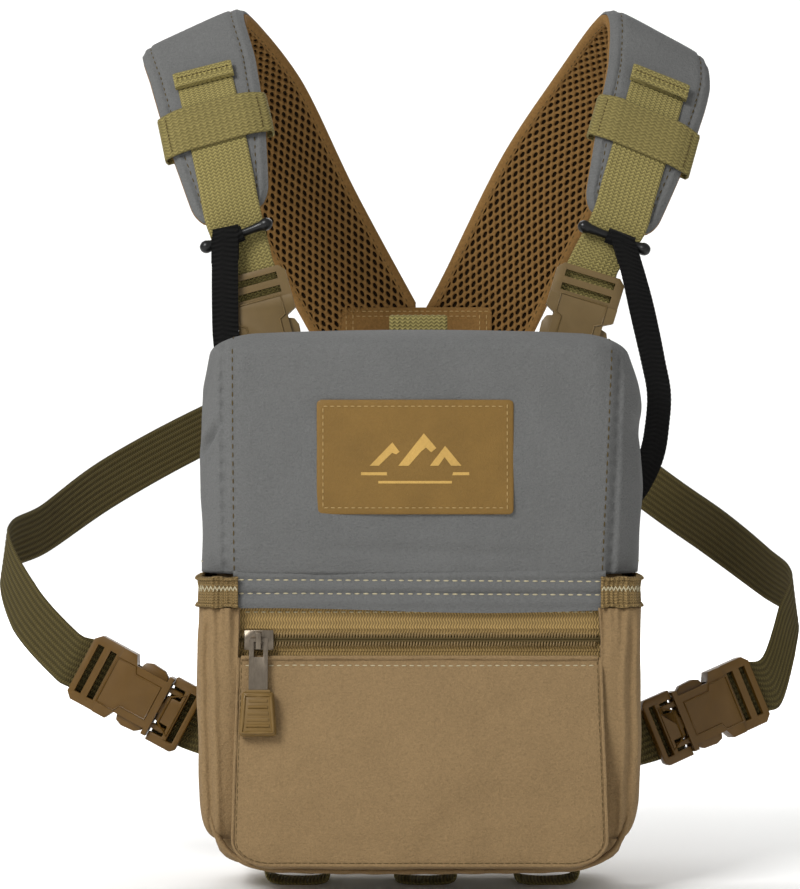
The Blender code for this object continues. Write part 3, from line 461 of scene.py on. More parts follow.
def tidy(made, angle=None, outward=True):
    """Merge doubles, turn the faces outwards and shade it."""
    steps = [(bpy.ops.mesh.remove_doubles, {"threshold": 2e-6})]
    if outward:
        steps.append((bpy.ops.mesh.normals_make_consistent, {"inside": False}))
    edit(made, *steps)
    alone(made)
    if angle is None:
        bpy.ops.object.shade_smooth()
    else:
        bpy.ops.object.shade_smooth_by_angle(angle=math.radians(angle))


def subdivide(made, levels=1, simple=False):
    kind = "SIMPLE" if simple else "CATMULL_CLARK"
    apply(made, "SUBSURF", levels=levels, render_levels=levels, subdivision_type=kind)


def keep(made, name, finish, body="harness", nodes=()):
    """Name a finished piece, dress it and let it ride."""
    made.name = made.data.name = name
    made.data.materials.clear()
    made.data.materials.append(finish)
    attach(made, body)
    if nodes:
        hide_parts(*nodes)
    return made


def coordinates(mesh):
    flat = np.empty(len(mesh.vertices) * 3)
    mesh.vertices.foreach_get("co", flat)
    return flat.reshape(-1, 3)


def set_coordinates(mesh, points):
    mesh.vertices.foreach_set("co", np.asarray(points, float).ravel())
    mesh.update()


def add_grid(rows, columns):
    """A flat grid, with the row and the column that each of its vertices is in."""
    bpy.ops.mesh.primitive_grid_add(x_subdivisions=rows, y_subdivisions=columns, size=1)
    made = bpy.context.object
    points = coordinates(made.data)
    row = np.rint((points[:, 0] + 0.5) * rows).astype(int)
    column = np.rint((points[:, 1] + 0.5) * columns).astype(int)
    return made, row, column


def set_uv(mesh, along, across):
    layer = mesh.uv_layers.active or mesh.uv_layers.new(name="UVMap")
    index = np.empty(len(mesh.loops), int)
    mesh.loops.foreach_get("vertex_index", index)
    layer.data.foreach_set("uv", np.stack([along[index], across[index]], 1).ravel())


def wrap_uv(mesh):
    """Metres upwards, and metres round the front and the sides."""
    points = coordinates(mesh)
    set_uv(mesh, points[:, 2], np.abs(points[:, 0]) + points[:, 1])


def smooth_step(a, b, c, d, t):
    """A point between b and c on the smooth curve through four points."""
    return 0.5 * (
        2 * b
        + (c - a) * t
        + (2 * a - 5 * b + 4 * c - d) * t * t
        + (3 * b - a - 3 * c + d) * t * t * t
    )


class Route:
    """A strap's middle line, with its width, its outside and its half width."""

    def __init__(self, stations, samples=16):
        points = [Vector(s[0]) for s in stations]
        widths = [Vector(s[1]).normalized() for s in stations]
        halves = [s[2] for s in stations]
        self.rows = []
        last = len(points) - 1
        for i in range(last):
            a, d = points[max(i - 1, 0)], points[min(i + 2, last)]
            for k in range(samples + (i == last - 1)):
                t = k / samples
                point = smooth_step(a, points[i], points[i + 1], d, t)
                width = widths[i].lerp(widths[i + 1], t)
                half = halves[i] + (halves[i + 1] - halves[i]) * t
                self.rows.append([point, width, half])
        self.reach = [0.0]
        for one, two in zip(self.rows, self.rows[1:]):
            self.reach.append(self.reach[-1] + (two[0] - one[0]).length)
        self.length = self.reach[-1]

    def at(self, distance):
        distance = min(max(distance, 0.0), self.length)
        i = int(np.searchsorted(self.reach, distance, side="right")) - 1
        i = min(max(i, 0), len(self.rows) - 2)
        share = (distance - self.reach[i]) / (self.reach[i + 1] - self.reach[i])
        one, two = self.rows[i], self.rows[i + 1]
        width = one[1].lerp(two[1], share).normalized()
        before = self.rows[max(i - 1, 0)][0]
        after = self.rows[min(i + 2, len(self.rows) - 1)][0]
        outward = width.cross((after - before).normalized()).normalized()
        half = one[2] + (two[2] - one[2]) * share
        return one[0].lerp(two[0], share), width, outward, half

    def map(self, along, across, out):
        """Places for arrays of distances along, across and out from the strap."""
        count = max(2, int(self.length / 0.0004))
        steps = np.linspace(0.0, self.length, count)
        frames = [self.at(step) for step in steps]
        places = np.zeros((len(along), 3))
        for axis in range(3):
            point, width, outward = (
                np.interp(along, steps, [frame[part][axis] for frame in frames])
                for part in range(3)
            )
            places[:, axis] = point + width * across + outward * out
        return places

    def on(self, distance, across, out):
        point, width, outward, _ = self.at(distance)
        return point + width * across + outward * out


def sweep(route, start, end, section, step=0.004, ends=True):
    """A closed section, drawn along a route. section(half, distance) gives its points
    as (across, out), always as many."""
    rows = max(2, round((end - start) / step))
    distances = [start + (end - start) * i / rows for i in range(rows + 1)]
    frames = [route.at(d) for d in distances]
    outlines = [section(f[3], d) for f, d in zip(frames, distances)]
    columns = len(outlines[0])
    made, row, column = add_grid(rows, columns)
    table = np.empty((rows + 1, columns + 1, 3))
    around = np.zeros((rows + 1, columns + 1))
    for i, ((point, width, outward, _), outline) in enumerate(zip(frames, outlines)):
        closed = np.array([*outline, outline[0]])
        table[i] = (
            np.array(point)
            + closed[:, :1] * np.array(width)
            + closed[:, 1:] * np.array(outward)
        )
        step_across, step_out = np.abs(np.diff(closed, axis=0)).T
        around[i, 1:] = np.cumsum(np.where(step_across > 1e-6, step_across, step_out))
    set_coordinates(made.data, table[row, column])
    set_uv(made.data, np.array(distances)[row], around[row, column])
    steps = [(bpy.ops.mesh.remove_doubles, {"threshold": 1e-6})]
    edit(made, *steps)
    if ends:
        edit(made, (bpy.ops.mesh.fill_holes, {"sides": 0}))
    tidy(made, 50)
    return made


def ribbed(thickness, ribs, depth, own_half=None, middle=0.0, lines=4):
    """A flat strap's section, with ridges along its length."""
    count = ribs * lines

    def section(half, _distance):
        half = own_half or half
        top = []
        for i in range(count + 1):
            share = i / count
            across = half * (1 - 2 * share)
            edge = max(0.0, 1 - abs(2 * share - 1) ** 14) ** 0.5
            dip = depth * (0.5 - 0.5 * math.cos(2 * math.pi * ribs * share))
            top.append((across, (thickness / 2 - depth + dip) * edge + 1e-5))
        upper = [(a, middle + o) for a, o in top]
        lower = [(a, middle - o) for a, o in reversed(top)]
        return upper + lower

    return section


def box_section(half_width, low, high, rounding=0.0006, parts=10):
    """A flat band's section, between two heights, with rounded edges."""
    middle, tall = (low + high) / 2, (high - low) / 2

    def section(half, _distance):
        wide = half_width or half
        top = []
        for i in range(parts + 1):
            share = 1 - 2 * i / parts
            drop = rounding if abs(share) == 1 else 0.0
            top.append((wide * share, tall - drop))
        return [(a, middle + o) for a, o in top] + [(a, middle - o) for a, o in reversed(top)]

    return section


def surface_tree(made):
    bm = bmesh.new()
    bm.from_mesh(made.data)
    tree = BVHTree.FromBMesh(bm)
    bm.free()
    return tree


def lay_on(tree, points, toward=None):
    """Points moved on to a surface, each with the surface's normal there: the nearest
    place, or the first that is met in a direction."""
    laid = []
    for point in points:
        place = None
        if toward:
            toward = Vector(toward)
            place, normal, _, _ = tree.ray_cast(Vector(point) - toward * 0.03, toward)
        if place is None:
            place, normal, _, _ = tree.find_nearest(Vector(point))
        laid.append((place, normal))
    return laid


def line(a, b, count=24):
    a, b = Vector(a), Vector(b)
    return [a.lerp(b, i / count) for i in range(count + 1)]


def walk(laid, pitch, margin=0.0):
    """Evenly spaced points along a laid path: place, direction and normal."""
    reach = [0.0]
    for (one, _), (two, _) in zip(laid, laid[1:]):
        reach.append(reach[-1] + (two - one).length)
    total = reach[-1] - 2 * margin
    count = max(1, round(total / pitch))
    steps = []
    for k in range(count):
        distance = margin + total * (k + 0.5) / count
        i = min(max(int(np.searchsorted(reach, distance)) - 1, 0), len(laid) - 2)
        share = (distance - reach[i]) / max(reach[i + 1] - reach[i], 1e-9)
        place = laid[i][0].lerp(laid[i + 1][0], share)
        normal = laid[i][1].lerp(laid[i + 1][1], share).normalized()
        steps.append((place, (laid[i + 1][0] - laid[i][0]).normalized(), normal))
    return steps


def repeat(template, places):
    """One object holding a copy of a template mesh at each place, a 4x4 matrix."""
    source = coordinates(template.data)
    faces = [tuple(p.vertices) for p in template.data.polygons]
    points, all_faces = [], []
    for i, place in enumerate(places):
        turn = np.array(place)
        points.append(source @ turn[:3, :3].T + turn[:3, 3])
        shift = i * len(source)
        all_faces += [tuple(v + shift for v in f) for f in faces]
    mesh = bpy.data.meshes.new("copies")
    mesh.from_pydata(np.concatenate(points).tolist(), [], all_faces)
    made = bpy.data.objects.new("copies", mesh)
    bpy.context.scene.collection.objects.link(made)
    bpy.data.objects.remove(template)
    return made


def sew(name, laid_paths, finish, body="harness", length=None, pitch=None, radius=None, sink=0.3):
    """Rows of stitches along paths laid on a surface."""
    sizes = bpy.context.scene.harness_sizes
    length = length or sizes.stitch_length
    pitch = pitch or sizes.stitch_pitch
    radius = radius or sizes.thread_radius
    bpy.ops.mesh.primitive_uv_sphere_add(segments=6, ring_count=5, radius=1.0)
    template = bpy.context.object
    places = []
    for laid in laid_paths:
        for place, along, normal in walk(laid, pitch):
            side = along.cross(normal).normalized()
            normal = side.cross(along).normalized()
            turn = Matrix((side * radius, normal * radius * 0.8, along * length / 2)).transposed()
            centre = place + normal * radius * sink
            places.append(Matrix.Translation(centre) @ turn.to_4x4())
    made = repeat(template, places)
    tidy(made, outward=True)
    return keep(made, name, finish, body)


def remove_faces(made, test):
    bm = bmesh.new()
    bm.from_mesh(made.data)
    gone = [face for face in bm.faces if test(face)]
    bmesh.ops.delete(bm, geom=gone, context="FACES")
    bm.to_mesh(made.data)
    bm.free()


class SoftBox:
    """A rounded box of cloth, drawn out from a cube. radii are those of its edges along
    each axis, and square names the sides that meet their neighbours at a sharp edge."""

    def __init__(self, low, high, radii, square=(), shape=None):
        self.low, self.high = np.array(low), np.array(high)
        self.half = (self.high - self.low) / 2
        self.middle = (self.high + self.low) / 2
        self.radii = np.array(radii)
        self.square = square
        self.shape = shape

    def draw(self, cube):
        """Places for points on the cube from -1 to 1."""
        cube = np.asarray(cube, float)
        full = cube * self.half
        inner = self.half - self.radii
        core = np.clip(full, -inner, inner)
        rest = (full - core) / self.radii
        for axis, sign in self.square:
            flat = cube[:, axis] * sign > 0
            rest[flat, axis] = 0.0
            core[flat, axis] = full[flat, axis]
        size = np.linalg.norm(rest, axis=1, keepdims=True)
        peak = np.abs(rest).max(axis=1, keepdims=True)
        rest = np.where(size > 1e-9, rest * peak / np.maximum(size, 1e-9), 0.0)
        points = self.middle + core + rest * self.radii
        if self.shape:
            points = self.shape(points, cube)
        return points

    def make(self, cuts, open_sides=(), wall=None, warp=None, drop=None):
        """warp is an axis and two lists, which crowd the rows where detail is fine, and
        drop says by its middle which faces are left out."""
        bpy.ops.mesh.primitive_cube_add(size=2.0)
        made = bpy.context.object
        edit(made, (bpy.ops.mesh.subdivide, {"number_cuts": cuts}))
        cube = coordinates(made.data)

        def on_open_side(face):
            middle = face.calc_center_median()
            return any(middle[axis] * sign > 0.999 for axis, sign in open_sides)

        remove_faces(made, on_open_side)
        cube = coordinates(made.data)
        if warp:
            axis, even, crowded = warp
            cube[:, axis] = np.interp(cube[:, axis], even, crowded)
        set_coordinates(made.data, self.draw(cube))
        if drop:
            remove_faces(made, lambda face: drop(face.calc_center_median()))
        tidy(made)
        if wall:
            apply(made, "SOLIDIFY", thickness=wall, offset=-1.0, use_even_offset=False)
        wrap_uv(made.data)
        return made


def bump_on(points, centre, reach, amount, direction):
    """Push points near a centre along a direction; reach is the size of the bump."""
    gap = (points - np.array(centre)) / np.array(reach)
    share = np.exp(-np.sum(gap * gap, axis=1))
    return points + share[:, None] * amount * np.array(direction)


def crease(points, a, b, width, depth, direction):
    """A fold line from a to b: a groove with a soft ridge beside it."""
    a, b = np.array(a), np.array(b)
    run = b - a
    share = np.clip(((points - a) @ run) / (run @ run), 0, 1)
    gap = np.linalg.norm(points - (a + share[:, None] * run), axis=1) / width
    fade = np.sin(np.pi * np.clip(share * 0.9 + 0.05, 0, 1)) ** 0.5
    fall = (1.6 * gap**2 - 1) * np.exp(-(gap**2)) * fade
    return points + fall[:, None] * depth * np.array(direction)


def ripple(points, size, amount, direction, seed=0.0):
    """Soft unevenness in a direction, from smooth noise."""
    if np.isscalar(size):
        size = (size, size, size)
    move = [
        noise.noise(Vector((p[0] / size[0] + seed, p[1] / size[1], p[2] / size[2])))
        for p in points
    ]
    return points + np.array(move)[:, None] * amount * np.array(direction)


# ---------------------------------------------------------------- sizes and colours


def colour_property(name, default, description):
    return FloatVectorProperty(
        name=name, description=description, default=default, subtype="COLOR", min=0.0, max=1.0
    )


def length_property(name, default, description):
    return FloatProperty(
        name=name, description=description, default=default, subtype="DISTANCE", min=0.0, precision=5
    )


class HarnessSizes(bpy.types.PropertyGroup):
    """Sizes of the cloth's detail"""

    stitch_length: length_property("Stitch length", 0.0022, "Length of one stitch")
    stitch_pitch: length_property("Stitch pitch", 0.0034, "From one stitch to the next")
    thread_radius: length_property("Thread radius", 0.00032, "Half the thickness of the thread")
    rib_depth: length_property("Rib depth", 0.00042, "Depth of the grooves along webbing")
    side_ribs: IntProperty(
        name="Side strap ribs", description="Ribs across a side strap", default=9, min=3, max=20
    )
    hole_across: length_property("Mesh pitch across", 0.0041, "Across the spacer mesh's holes")
    hole_along: length_property("Mesh pitch along", 0.0038, "From one row of holes to the next")
    tooth_pitch: length_property("Tooth pitch", 0.00135, "From one tooth of the zip to the next")
    puff: length_property("Pad crown", 0.0012, "How far a shoulder pad swells past its flat edge")


class HarnessColours(bpy.types.PropertyGroup):
    """Colours of the materials"""

    grey_cloth: colour_property("Grey cloth", (0.132, 0.133, 0.130), "Lid and pads")
    tan_cloth: colour_property("Tan cloth", (0.245, 0.163, 0.080), "Bag and pockets")
    lining: colour_property("Lining", (0.34, 0.26, 0.16), "Inside of the bag")
    board: colour_property("Board", (0.045, 0.045, 0.045), "Stiffener in the back")
    tape: colour_property("Zip tape", (0.320, 0.212, 0.080), "Tapes of the zip")
    coil: colour_property("Zip coil", (0.225, 0.152, 0.064), "Teeth of the zip")
    metal: colour_property("Zip metal", (0.20, 0.165, 0.125), "Slider and its tab")
    grip: colour_property("Zip grip", (0.165, 0.098, 0.026), "Moulded grip of the zip's pull")
    elastic: colour_property("Elastic", (0.250, 0.168, 0.068), "Hems of the side pockets")
    khaki: colour_property("Khaki webbing", (0.265, 0.220, 0.078), "Webbing of the shoulders")
    keeper: colour_property("Keeper webbing", (0.215, 0.176, 0.062), "Keepers of the shoulders")
    olive: colour_property("Olive webbing", (0.095, 0.074, 0.025), "Webbing of the sides")
    mesh: colour_property("Spacer mesh", (0.215, 0.117, 0.038), "Lining of the shoulder pads")
    # Painted shade: a near-black sheet behind the spacer mesh's holes stands in for the shade inside
    # them.
    mesh_base: colour_property("Mesh base", (0.022, 0.013, 0.005), "Behind the mesh's holes")
    black: colour_property("Black webbing", (0.0045, 0.0043, 0.0040), "Tethers")
    black_plastic: colour_property("Black plastic", (0.006, 0.006, 0.006), "Bars of the straps")
    plastic: colour_property("Buckle plastic", (0.108, 0.054, 0.007), "Side buckles")
    tan_plastic: colour_property("Tan plastic", (0.150, 0.098, 0.036), "Shoulder buckles")
    patch: colour_property("Patch", (0.185, 0.105, 0.025), "Leather patch of the lid")
    motif: colour_property("Motif", (0.50, 0.31, 0.085), "Print on the patch")
    cream_thread: colour_property("Cream thread", (0.50, 0.44, 0.29), "Stitches of the lid")
    tan_thread: colour_property("Tan thread", (0.42, 0.29, 0.12), "Stitches of the tan cloth")
    # Dark thread is also painted on the zip's cords, where it stands in for the shade between the teeth.
    dark_thread: colour_property("Dark thread", (0.085, 0.060, 0.022), "Seams and bar tacks")
    magnet: colour_property("Magnet", (0.42, 0.42, 0.42), "Magnets of the lid")
    paper: colour_property("Backdrop", (0.93, 0.93, 0.92), "Floor and backdrop")


FINISHES = {
    "grey_cloth": lambda c: softshell("grey_softshell", c, 0.20),
    "tan_cloth": lambda c: softshell("tan_softshell", c, 0.26),
    "keeper": lambda c: woven("keeper_webbing", c, rib=0.0034, pick=0.0016, groove=0.25),
    "lining": lambda c: softshell("tan_lining", c, 0.15),
    "board": lambda c: moulded("board", c, 0.6, 0.0),
    "tape": lambda c: woven("zip_tape", c, rib=0.0034, pick=0.0013, contrast=0.6, groove=0.2),
    "coil": lambda c: moulded("zip_coil", c, 0.38, 0.05),
    "metal": lambda c: brushed("brushed_metal", c),
    "grip": lambda c: moulded("grip_rubber", c, 0.42, 0.10),
    "elastic": lambda c: woven("elastic", c, rib=0.0016, pick=0.0013, contrast=0.4, groove=0.4),
    "khaki": lambda c: woven("khaki_webbing", c, rib=0.00258, pick=0.0017, contrast=0.6, groove=0.3),
    "olive": lambda c: woven("olive_webbing", c, rib=0.00278, pick=0.0012, groove=0.65),
    "mesh": lambda c: knitted("spacer_mesh", c),
    "mesh_base": lambda c: knitted("spacer_mesh_base", c),
    "black": lambda c: woven("black_webbing", c, rib=0.013, pick=0.0023, contrast=0.6, groove=0.1),
    "black_plastic": lambda c: moulded("black_plastic", c, 0.32, 0.10),
    "plastic": lambda c: moulded("buckle_plastic", c, 0.40, 0.08),
    "tan_plastic": lambda c: moulded("tan_plastic", c, 0.42, 0.08),
    "patch": lambda c: tanned("patch_leather", c),
    "motif": lambda c: tanned("patch_print", c),
    "cream_thread": lambda c: spun("cream_thread", c),
    "tan_thread": lambda c: spun("tan_thread", c),
    "dark_thread": lambda c: spun("dark_thread", c),
    "magnet": lambda c: brushed("magnet_steel", c),
}
MADE = {}


def finish(name):
    """The material of a name, in its colour from the panel."""
    if name not in MADE:
        MADE[name] = FINISHES[name](tuple(getattr(bpy.context.scene.harness_colours, name)))
    return MADE[name]


# ---------------------------------------------------------------- shared makers


def rounded_copy(node, width, segments=2, angle=40):
    """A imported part's shape with its edges rounded."""
    mesh = NODES[node].data.copy()
    made = bpy.data.objects.new(node + "_rounded", mesh)
    bpy.context.scene.collection.objects.link(made)
    edit(
        made,
        (bpy.ops.mesh.remove_doubles, {"threshold": 1e-5}),
        (bpy.ops.mesh.tris_convert_to_quads,
         {"face_threshold": math.radians(2), "shape_threshold": math.radians(180)}),
    )
    apply(
        made, "BEVEL", width=width, segments=segments, limit_method="ANGLE",
        angle_limit=math.radians(angle), harden_normals=False,
    )
    alone(made)
    bpy.ops.object.shade_smooth_by_angle(angle=math.radians(35))
    return made


def trace(box, corners, count=40):
    """A path over a soft box, through corners that are given on its cube."""
    cube = []
    for a, b in zip(corners, corners[1:]):
        cube += [np.array(a) + (np.array(b) - np.array(a)) * i / count for i in range(count)]
    cube.append(np.array(corners[-1]))
    return [Vector(p) for p in box.draw(np.array(cube))]


def tube(points, radius, sides=8, closed=False):
    """A round cord through points."""
    curve = bpy.data.curves.new("tube", "CURVE")
    curve.dimensions = "3D"
    curve.bevel_depth = radius
    curve.bevel_resolution = max(0, sides // 4 - 1)
    curve.use_fill_caps = True
    spline = curve.splines.new("POLY")
    spline.points.add(len(points) - 1)
    for target, point in zip(spline.points, points):
        target.co = (*point, 1.0)
    spline.use_cyclic_u = closed
    made = bpy.data.objects.new("tube", curve)
    bpy.context.scene.collection.objects.link(made)
    alone(made)
    bpy.ops.object.convert(target="MESH")
    made = bpy.context.object
    tidy(made, 60)
    wrap_uv(made.data)
    return made


def join(*pieces):
    """Several meshes as one object."""
    bpy.ops.object.select_all(action="DESELECT")
    for piece in pieces:
        piece.select_set(True)
    bpy.context.view_layer.objects.active = pieces[0]
    bpy.ops.object.join()
    return bpy.context.object


class Place:
    """Where a buckle lies, in its own length, width and thickness."""

    def __init__(self, name):
        end, along = BUCKLES[name]
        length = Vector(along).normalized()
        self.width = Vector((0, -1, 0)).cross(length).normalized()
        self.length = length
        self.thickness = length.cross(self.width)
        turn = Matrix((length, self.width, self.thickness)).transposed().to_4x4()
        self.matrix = Matrix.Translation(end) @ turn

    def point(self, u, v=0.0, n=0.0):
        return self.matrix @ Vector((u, v, n))


# ---------------------------------------------------------------- bag and pockets


def sink_in(points, cube, amount):
    """Cloth walls that draw in between their corners."""
    x, y, z = cube.T
    pull = np.zeros_like(points)
    pull[:, 0] = -np.sign(x) * (np.abs(x) > 0.9) * (1 - y**2) * (1 - z**2) * amount
    pull[:, 1] = -np.sign(y) * (np.abs(y) > 0.9) * (1 - x**2) * (1 - z**2) * amount
    return points + pull


class HARNESS_OT_bag(bpy.types.Operator):
    """Make the bag's body and its lining"""

    bl_idname = "harness.bag"
    bl_label = "Bag"

    def execute(self, context):
        low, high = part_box("main_bag")

        def shape(points, cube):
            return ripple(sink_in(points, cube, 0.0012), 0.03, 0.0007, (0.3, 1, 0.2), 3.0)

        box = SoftBox(low, high, (0.016, 0.016, 0.012), square=((2, 1),), shape=shape)
        bag = box.make(40, open_sides=((2, 1),), wall=0.0026)
        keep(bag, "bag_body", finish("tan_cloth"), nodes=("main_bag",))

        low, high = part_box("bag_liner")
        box = SoftBox(low, high, (0.013, 0.013, 0.010), square=((2, 1),), shape=shape)
        liner = box.make(30, open_sides=((2, 1),), wall=0.001)
        keep(liner, "bag_lining", finish("lining"), nodes=("bag_liner",))

        tree = surface_tree(bag)
        rim = []
        for x, y in ((-0.0955, -0.0100), (-0.0955, -0.0680)):
            rim.append(Vector((x, y, 0.0915)))
        paths = []
        for x in (-0.0965, 0.0965):
            paths.append(lay_on(tree, line((x, -0.011, 0.0915), (x, -0.068, 0.0915))))
        paths.append(lay_on(tree, line((-0.080, -0.0086, 0.0915), (0.080, -0.0086, 0.0915))))
        sew("bag_rim_stitches", paths, finish("tan_thread"))

        # binding round the bag's front, which closes its bottom and sides
        path = [
            (-0.0990, -0.0874, -0.0480), (-0.0988, -0.0874, -0.0700), (-0.0980, -0.0874, -0.0900),
            (-0.0960, -0.0874, -0.1045), (-0.0910, -0.0874, -0.1145), (-0.0830, -0.0874, -0.1212),
            (-0.0712, -0.0874, -0.1252), (-0.0500, -0.0874, -0.1262), (-0.0118, -0.0874, -0.1266),
            (0.0400, -0.0874, -0.1262), (0.0690, -0.0874, -0.1254), (0.0815, -0.0874, -0.1225),
            (0.0905, -0.0874, -0.1160), (0.0955, -0.0874, -0.1060), (0.0978, -0.0874, -0.0950),
            (0.0990, -0.0874, -0.0800), (0.0992, -0.0874, -0.0500),
        ]
        stations = [(p, (0, 1, 0), 0.0020) for p in path]
        route = Route(stations, 10)

        def roll(half, distance):
            fuller = 1.0 + 0.10 * math.sin(distance * 410.0)
            ring = [math.tau * i / 12 for i in range(12)]
            return [(0.0022 * math.cos(a), 0.0014 * fuller * math.sin(a)) for a in reversed(ring)]

        piping = sweep(route, 0.0, route.length, roll, 0.0016)
        keep(piping, "bag_binding", finish("tan_cloth"))
        return {"FINISHED"}


class HARNESS_OT_back_pad(bpy.types.Operator):
    """Make the padded panel on the bag's back"""

    bl_idname = "harness.back_pad"
    bl_label = "Back pad"

    def execute(self, context):
        low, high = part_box("back_pad")

        def shape(points, cube):
            x = points[:, 0]
            channels = np.zeros(len(points))
            for at in (-0.027, 0.027):
                channels += np.exp(-(((x - at) / 0.0022) ** 2))
            edge = np.clip((1 - np.abs(cube[:, 0]) ** 12) * (1 - np.abs(cube[:, 2]) ** 12), 0, 1)
            back = cube[:, 1] > 0
            points = points.copy()
            points[back, 1] -= (0.0022 * channels + 0.0028 * (1 - edge))[back]
            return points

        warp = (0, [-1, -0.62, -0.42, 0.42, 0.62, 1], [-1, -0.42, -0.29, 0.29, 0.42, 1])
        box = SoftBox(low, high, (0.012, 0.0022, 0.012), shape=shape)
        pad = box.make(56, warp=warp)
        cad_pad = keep(pad, "back_padding", finish("mesh"), nodes=("back_pad",))
        tree = surface_tree(pad)
        paths = []
        for x in (-0.027, 0.027):
            paths.append(lay_on(tree, line((x, 0.002, -0.056), (x, 0.002, 0.056))))
        edge = trace(box, [(-0.93, 1, -0.92), (-0.93, 1, 0.92), (0.93, 1, 0.92), (0.93, 1, -0.92),
                           (-0.93, 1, -0.92)])
        paths.append(lay_on(tree, edge))
        sew("back_pad_stitches", paths, finish("tan_thread"), sink=0.1)

        rim = trace(box, [(-1, 1, -1), (-1, 1, 1), (1, 1, 1), (1, 1, -1), (-1, 1, -1)], 30)
        rim = [Vector((p.x, -0.0040, p.z)) for p in rim]
        cord = tube(rim[:-1], 0.0017, 8, closed=True)
        keep(cord, "back_pad_binding", finish("olive"))
        return {"FINISHED"}


class HARNESS_OT_front_pocket(bpy.types.Operator):
    """Make the front pocket, its seam and its top hem"""

    bl_idname = "harness.front_pocket"
    bl_label = "Front pocket"

    def execute(self, context):
        low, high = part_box("front_pocket")
        low, high = np.array(low), np.array(high)
        back, deep = high[1], high[1] - low[1]
        lip = 0.30

        def shape(points, cube):
            points = points.copy()
            x, z = points[:, 0], points[:, 2]
            up = np.clip((z - low[2]) / (high[2] - low[2]), 0, 1)
            front = np.clip((back - points[:, 1]) / deep, 0, 1)
            inset = 0.0004 + 0.0024 * up
            points[:, 0] -= np.sign(x) * inset * front * np.clip(np.abs(x) / 0.05 - 0.4, 0, 1)
            low_edge = np.clip(1 - up * 6, 0, 1)
            points[:, 2] += 0.0055 * front * low_edge
            slope = lip + (1 - lip) * (1 - up**1.25)
            crown = 0.0034 * (1 - (x / 0.0865) ** 2) * np.sin(np.pi * np.clip(up, 0, 1)) ** 0.8
            points[:, 1] = back - front * (deep * slope + crown * (up < 1))
            push = (0, -1, 0)
            points = ripple(points, (0.045, 0.05, 0.030), 0.0021, push, 1.7)
            points = ripple(points, (0.016, 0.05, 0.012), 0.0007, push, 8.1)
            points = bump_on(points, (-0.060, -0.10, -0.060), (0.016, 1, 0.020), -0.0016, push)
            points = crease(points, (0.080, -0.1, -0.035), (0.030, -0.1, -0.052), 0.006, 0.0008, push)
            points = crease(points, (-0.078, -0.1, -0.108), (-0.040, -0.1, -0.090), 0.007, 0.0008, push)
            points = crease(points, (0.078, -0.1, -0.108), (0.048, -0.1, -0.086), 0.007, 0.0009, push)
            # cloth drawn in by the row of stitches at the top
            row = np.exp(-(((points[:, 2] + 0.0300) / 0.0016) ** 2))
            points[:, 1] += 0.0007 * row * front
            return points

        self.box = box = SoftBox(
            low, high, (0.018, 0.0030, 0.018), square=((2, 1), (1, 1), (1, -1)), shape=shape
        )
        pocket = box.make(72, open_sides=((2, 1), (1, 1)), wall=0.0016)
        keep(pocket, "pocket_front", finish("tan_cloth"),
             nodes=("front_pocket",))
        tree = surface_tree(pocket)

        outline = [(-1, -1, 1.0), (-1, -1, -1), (1, -1, -1), (1, -1, 1.0)]
        seam = trace(box, outline, 60)
        cord = tube([p + Vector((0, -0.0001, 0)) for p in seam], 0.0008, 8)
        keep(cord, "pocket_seam", finish("tan_cloth"))
        inner = [(-0.982, -1, 0.97), (-0.982, -1, -0.968), (0.982, -1, -0.968), (0.982, -1, 0.97)]
        sew("pocket_seam_stitches", [lay_on(tree, trace(box, inner, 60))], finish("dark_thread"),
            length=0.0026, pitch=0.0031, radius=0.00016, sink=0.4)

        hem = trace(box, [(-0.985, -1, 0.998), (0.985, -1, 0.998)], 90)
        cord = tube([p + Vector((0, -0.0001, 0)) for p in hem], 0.0011, 8)
        keep(cord, "pocket_hem", finish("tan_cloth"))
        rim_line = trace(box, [(-0.97, -1, 0.94), (0.97, -1, 0.94)])
        row = [Vector((p.x, p.y - 0.002, -0.0300)) for p in rim_line]
        sew("pocket_hem_stitches", [lay_on(tree, row)], finish("cream_thread"), length=0.0023,
            pitch=0.0036, radius=0.00030)
        return {"FINISHED"}


